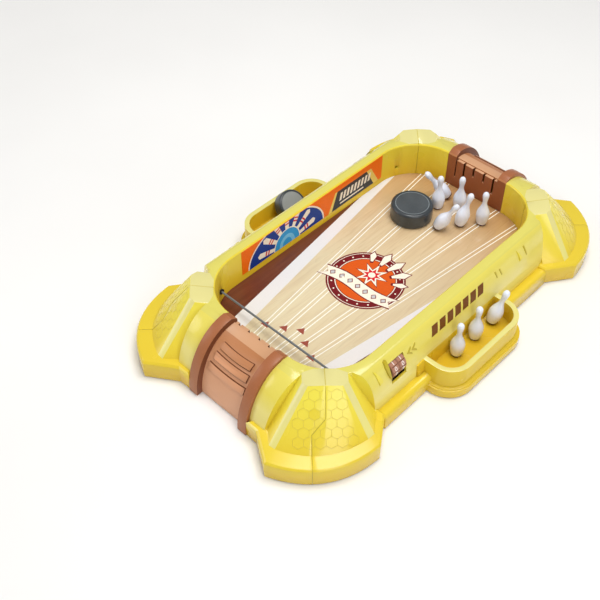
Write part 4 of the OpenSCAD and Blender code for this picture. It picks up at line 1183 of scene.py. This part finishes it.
def puck(body, k, place):
    """Rounded slate shell with a grooved disc on top and a smooth glide disc below."""
    r, h, edge = PUCK_R * k, PUCK_H * k, 2.8 * k
    disc, thick, core = 17.0 * k, 1.2 * k, 11.0 * k + 0.05
    ring = disc - 0.7 * k
    arc = [polar(r - edge, 0.0, edge, math.pi / 2 * i / 10) for i in range(11)]
    shell = ([(0.0, 7.2 * k), (core, 7.2 * k), (core, thick), (disc + 0.02, thick),
              (disc + 0.02, 0.0)] + [(a, edge - b) for a, b in arc[::-1]] + [(r, h / 2)]
             + [(a, h - edge + b) for a, b in arc]
             + [(disc + 0.02, h), (disc + 0.02, h - thick), (0.0, h - thick)])
    top = [(0.0, h - thick), (disc - 0.05, h - thick), (disc - 0.05, h - 0.25), (disc - 0.25, h),
           (ring, h), (ring - 0.15, h - 0.25), (ring - 0.6, h - 0.25), (ring - 0.75, h),
           (ring - 1.0, h), (0.0, h)]
    under = [(0.0, 0.0), (disc - 0.5, 0.0), (disc - 0.05, 0.3), (disc - 0.05, thick - 0.02),
             (0.0, thick - 0.02)]
    for profile, piece, finishes, angle, slot, node in (
            (shell, "_turned_shell", [PUCK_SIDE], 40, "puck_slate", "_shell"),
            (top, "_grooved_disc", [PUCK_FACE, PUCK_GROOVE_HIGHLIGHT], 30, "puck_face_slate", "_top_disc"),
            (under, "_glide_face", [PUCK_GREY], 30, "puck_face_grey", "_glide_disc")):
        bm = bmesh.new()
        faces = lathe(bm, profile, 96, place)
        # The groove's faces take the pale painted highlight.
        if profile is top:
            for f in faces[4 * 96:7 * 96]:
                f.material_index = 1
        settle(bake(body + piece, bm, finishes, angle), body, body + node)


def pocket_lean():
    """Place of the small puck: upside down, its back against the pocket's outer rim."""
    tilt, lift = math.radians(43), 0.2
    low_x = POCKET_IN_X - (POCKET_RIM - POCKET_FLOOR) / math.tan(tilt)
    return (Matrix.Translation((-low_x + lift, 9.0, POCKET_FLOOR + lift))
            @ Matrix.Rotation(tilt, 4, "Y")
            @ Matrix.Translation((-SMALL_PUCK * PUCK_R, 0, SMALL_PUCK * PUCK_H))
            @ Matrix.Scale(-1, 4, (0, 0, 1)))


puck("lane_puck", 1.0, Matrix.Translation((-25, 82.5, LANE_Z)))
puck("pocket_puck", SMALL_PUCK, pocket_lean())


# Marks on the slopes

def slope_spot(y, down, lift, half_turn):
    """Point on a side wall's slope, so far down from its top edge, lifted off the surface."""
    rise = RIM_Z - CREASE_Z
    angles = np.linspace(math.pi / 2, 0, 200)
    xs, zs = SLOPE_RUN * np.cos(angles), rise * np.sin(angles)
    runs = np.concatenate([[0], np.cumsum(np.hypot(np.diff(xs), np.diff(zs)))])
    a = float(np.interp(down, runs, angles))
    normal = Vector((math.cos(a) * rise, 0, math.sin(a) * SLOPE_RUN)).normalized()
    p = Vector((SLOPE_X + SLOPE_RUN * math.cos(a), y, CREASE_Z + rise * math.sin(a)))
    return half_turned(p + normal * lift, half_turn)


def relief(name, polygons, height, finish, half_turn, chamfer=0.0):
    """Raised shapes that follow the slope; each polygon is in (along, down)."""
    bm = bmesh.new()
    for polygon in polygons:
        face = bm.faces.new([bm.verts.new((*p, -0.25)) for p in polygon])
        up = bmesh.ops.extrude_face_region(bm, geom=[face])
        top = [v for v in up["geom"] if isinstance(v, bmesh.types.BMVert)]
        for v in top:
            v.co.z = height
        if chamfer:
            rim = [e for e in bm.edges if all(v in top for v in e.verts)]
            bmesh.ops.bevel(bm, geom=rim, offset=chamfer, segments=2, affect="EDGES")
    downs = [v.co.y for v in bm.verts]
    low, step = min(downs), 1.2
    slices(bm, [low + i * step for i in range(1, int((max(downs) - low) / step) + 1)])
    for v in bm.verts:
        v.co = slope_spot(*v.co, half_turn)
    settle(bake(name, bm, finish, 35))


def slope_marks(side, half_turn):
    """Printed bars, and moulded chevrons, dashes, fins, window lip and pocket pad of a rail; the
    chevrons, dashes and lip are golden as painted shade, the pad takes the inner walls' painted
    shade.
    """
    bars = [[(y - 1.2, 19.0), (y + 6.4, 19.0), (y + 9.4, 10.0), (y + 1.8, 10.0)]
            for y in (-42.0 + 10.5 * i for i in range(7))]
    relief(side + "_slanted_bars", bars, 0.18, BAR_BROWN, half_turn)
    chevrons = [[(y + 5.6, 10.8), (y, 14.6), (y + 5.6, 18.4), (y + 5.6, 16.6), (y + 2.6, 14.6),
                 (y + 5.6, 12.6)] for y in (-73.9, -68.3)]
    relief(side + "_counter_chevrons", chevrons, 0.35, YELLOW_JOINT_AND_RELIEF_SHADE, half_turn)
    dashes = [[(46.8, 10.0), (48.3, 10.0), (49.4, 16.4), (48.3, 16.4)],
              [(53.2, 10.6), (54.7, 10.6), (55.8, 17.0), (54.7, 17.0)],
              [(90.0, 8.6), (91.7, 8.6), (93.5, 18.4), (92.1, 18.4)]]
    relief(side + "_slope_dashes", dashes, 0.4, YELLOW_JOINT_AND_RELIEF_SHADE, half_turn)
    fins = [[(80.4, 8.2), (82.6, 11.2), (86.3, 17.8), (82.0, 19.2)],
            [(-112.2, 6.6), (-110.4, 8.2), (-105.6, 17.6), (-106.0, 20.4), (-109.6, 21.8)]]
    relief(side + "_slope_fins", fins, 0.9, YELLOW, half_turn, 0.35)
    lip = [[(-99.8, 5.4), (-97.7, 4.6), (-96.4, 5.6), (-95.6, 25.4), (-97.2, 24.0),
            (-98.9, 19.0), (-100.2, 11.0)]]
    relief(side + "_window_lip", lip, 1.3, YELLOW_JOINT_AND_RELIEF_SHADE, half_turn, 0.4)
    # The pocket end pad takes the inner walls' painted shade.
    pad = [[(-64.6, 34.2), (-55.9, 33.2), (-55.9, 47.0), (-64.6, 47.0)]]
    relief(side + "_pocket_end_pad", pad, 1.5, YELLOW_WALL_SHADE, half_turn, 0.35)


slope_marks("right", False)
slope_marks("left", True)


# Score counters

def numeral(character, height):
    """Flat mesh of one numeral, centred, with its strokes cut for bending."""
    curve = bpy.data.curves.new("numeral", "FONT")
    curve.body = character
    curve.size = height * 1.35
    curve.align_x = "CENTER"
    curve.offset = 0.07
    curve.resolution_u = 3
    obj = link(bpy.data.objects.new("numeral", curve))
    graph = bpy.context.evaluated_depsgraph_get()
    mesh = bpy.data.meshes.new_from_object(obj.evaluated_get(graph), depsgraph=graph)
    bpy.data.objects.remove(obj)
    bm = bmesh.new()
    bm.from_mesh(mesh)
    bmesh.ops.remove_doubles(bm, verts=bm.verts, dist=0.001)
    ys = [v.co.y for v in bm.verts]
    middle = (max(ys) + min(ys)) / 2
    for v in bm.verts:
        v.co.y -= middle
    slices(bm, [i * 0.6 for i in range(-4, 5)])
    return bm


def wheel_prints(side, wheel, place, half_turn):
    """Ten printed numerals round a wheel's rim, and the lines between them."""
    y = COUNTER_Y + place * (WHEEL_W + 0.4) / 2
    body = side + "_" + wheel + "_wheel"

    def on_wheel(angle, across, lift):
        x, z = polar(WHEEL_X, WHEEL_Z, WHEEL_R + lift, angle)
        return half_turned((x, y + across, z), half_turn)

    prints, bars = bmesh.new(), bmesh.new()
    for n in range(10):
        flat = numeral(str(n), height=4.3)
        solid = bmesh.ops.extrude_face_region(flat, geom=flat.faces[:])
        for v in solid["geom"]:
            if isinstance(v, bmesh.types.BMVert):
                v.co.z = 1.0
        shown = math.radians(36.0 * n + 28.0)
        fresh = {v: prints.verts.new(on_wheel(shown + v.co.y / WHEEL_R, v.co.x,
                                              0.12 if v.co.z > 0.5 else -0.15))
                 for v in flat.verts}
        for f in flat.faces:
            prints.faces.new([fresh[v] for v in f.verts])
        flat.free()
        between = math.radians(36.0 * n + 10.0)
        ring = [bars.verts.new(on_wheel(between + swing, across, lift))
                for swing in (-0.028, 0.028)
                for across, lift in ((-3.5, -0.15), (3.5, -0.15), (3.5, 0.1), (-3.5, 0.1))]
        for corners in ((0, 1, 2, 3), (4, 5, 6, 7), (0, 1, 5, 4), (2, 3, 7, 6), (1, 2, 6, 5),
                        (0, 3, 7, 4)):
            bars.faces.new([ring[i] for i in corners])
    settle(bake(side + "_" + wheel + "_numerals", prints, NUMERAL), body)
    settle(bake(side + "_" + wheel + "_cell_lines", bars, CELL_LINE), body)


for side, half_turn in (("right", False), ("left", True)):
    wheel_prints(side, "tens", -1, half_turn)
    wheel_prints(side, "units", 1, half_turn)


# Launching cord

def braided_cord():
    """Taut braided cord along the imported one, between its two ends."""
    low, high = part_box("elastic_cord")
    steps, around, r, weave = 240, 20, (high.z - low.z) / 2 / MM, 0.05
    x0, x1 = low.x / MM, high.x / MM
    y, z = (low.y + high.y) / 2 / MM, (low.z + high.z) / 2 / MM
    bm = bmesh.new()
    rings = []
    for i in range(steps + 1):
        x = x0 + (x1 - x0) * i / steps
        ring = []
        for j in range(around):
            a = 2 * math.pi * j / around
            lift = weave * abs(math.sin(2.6 * x + 5 * a) * math.sin(2.6 * x - 5 * a))
            ring.append(bm.verts.new((x, *polar(y, z, r - 0.06 + lift, a))))
        rings.append(ring)
    for a, b in zip(rings, rings[1:]):
        for j in range(around):
            k = (j + 1) % around
            bm.faces.new([a[j], a[k], b[k], b[j]])
    bm.faces.new(rings[0])
    bm.faces.new(rings[-1])
    cord = settle(bake("launching_cord_braid", bm, CORD, 60), node="elastic_cord")


braided_cord()


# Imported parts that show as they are

for finish, names in ((BOARD, ["lane_board"]), (BEAD, ["cord_eyelets", "cord_stops"]),
                      (WHEEL, [side + place + "_wheel" for side in ("right_", "left_")
                               for place in ("tens", "units")]),
                      (AXLE, ["right_counter_axle", "left_counter_axle"]),
                      (BRACKET, ["right_counter_bracket", "left_counter_bracket"]),
                      (PLATE, [end + side + "_corner_plate" for end in ("near_", "far_")
                               for side in ("right", "left")]),
                      (WEIGHT, ["lane_puck_weight", "pocket_puck_weight"])):
    for name in names:
        dress(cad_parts[name], finish)


# Floor

def pale_floor():
    bm = bmesh.new()
    bmesh.ops.create_grid(bm, x_segments=4, y_segments=4, size=4000)
    f = Finish("pale_floor", 0.85)
    f.colour(f.blend(f.noise(3.0), 0.3, 0.7, "#f1f0ee", "#f7f6f4"))
    bake("floor", bm, f)


pale_floor()
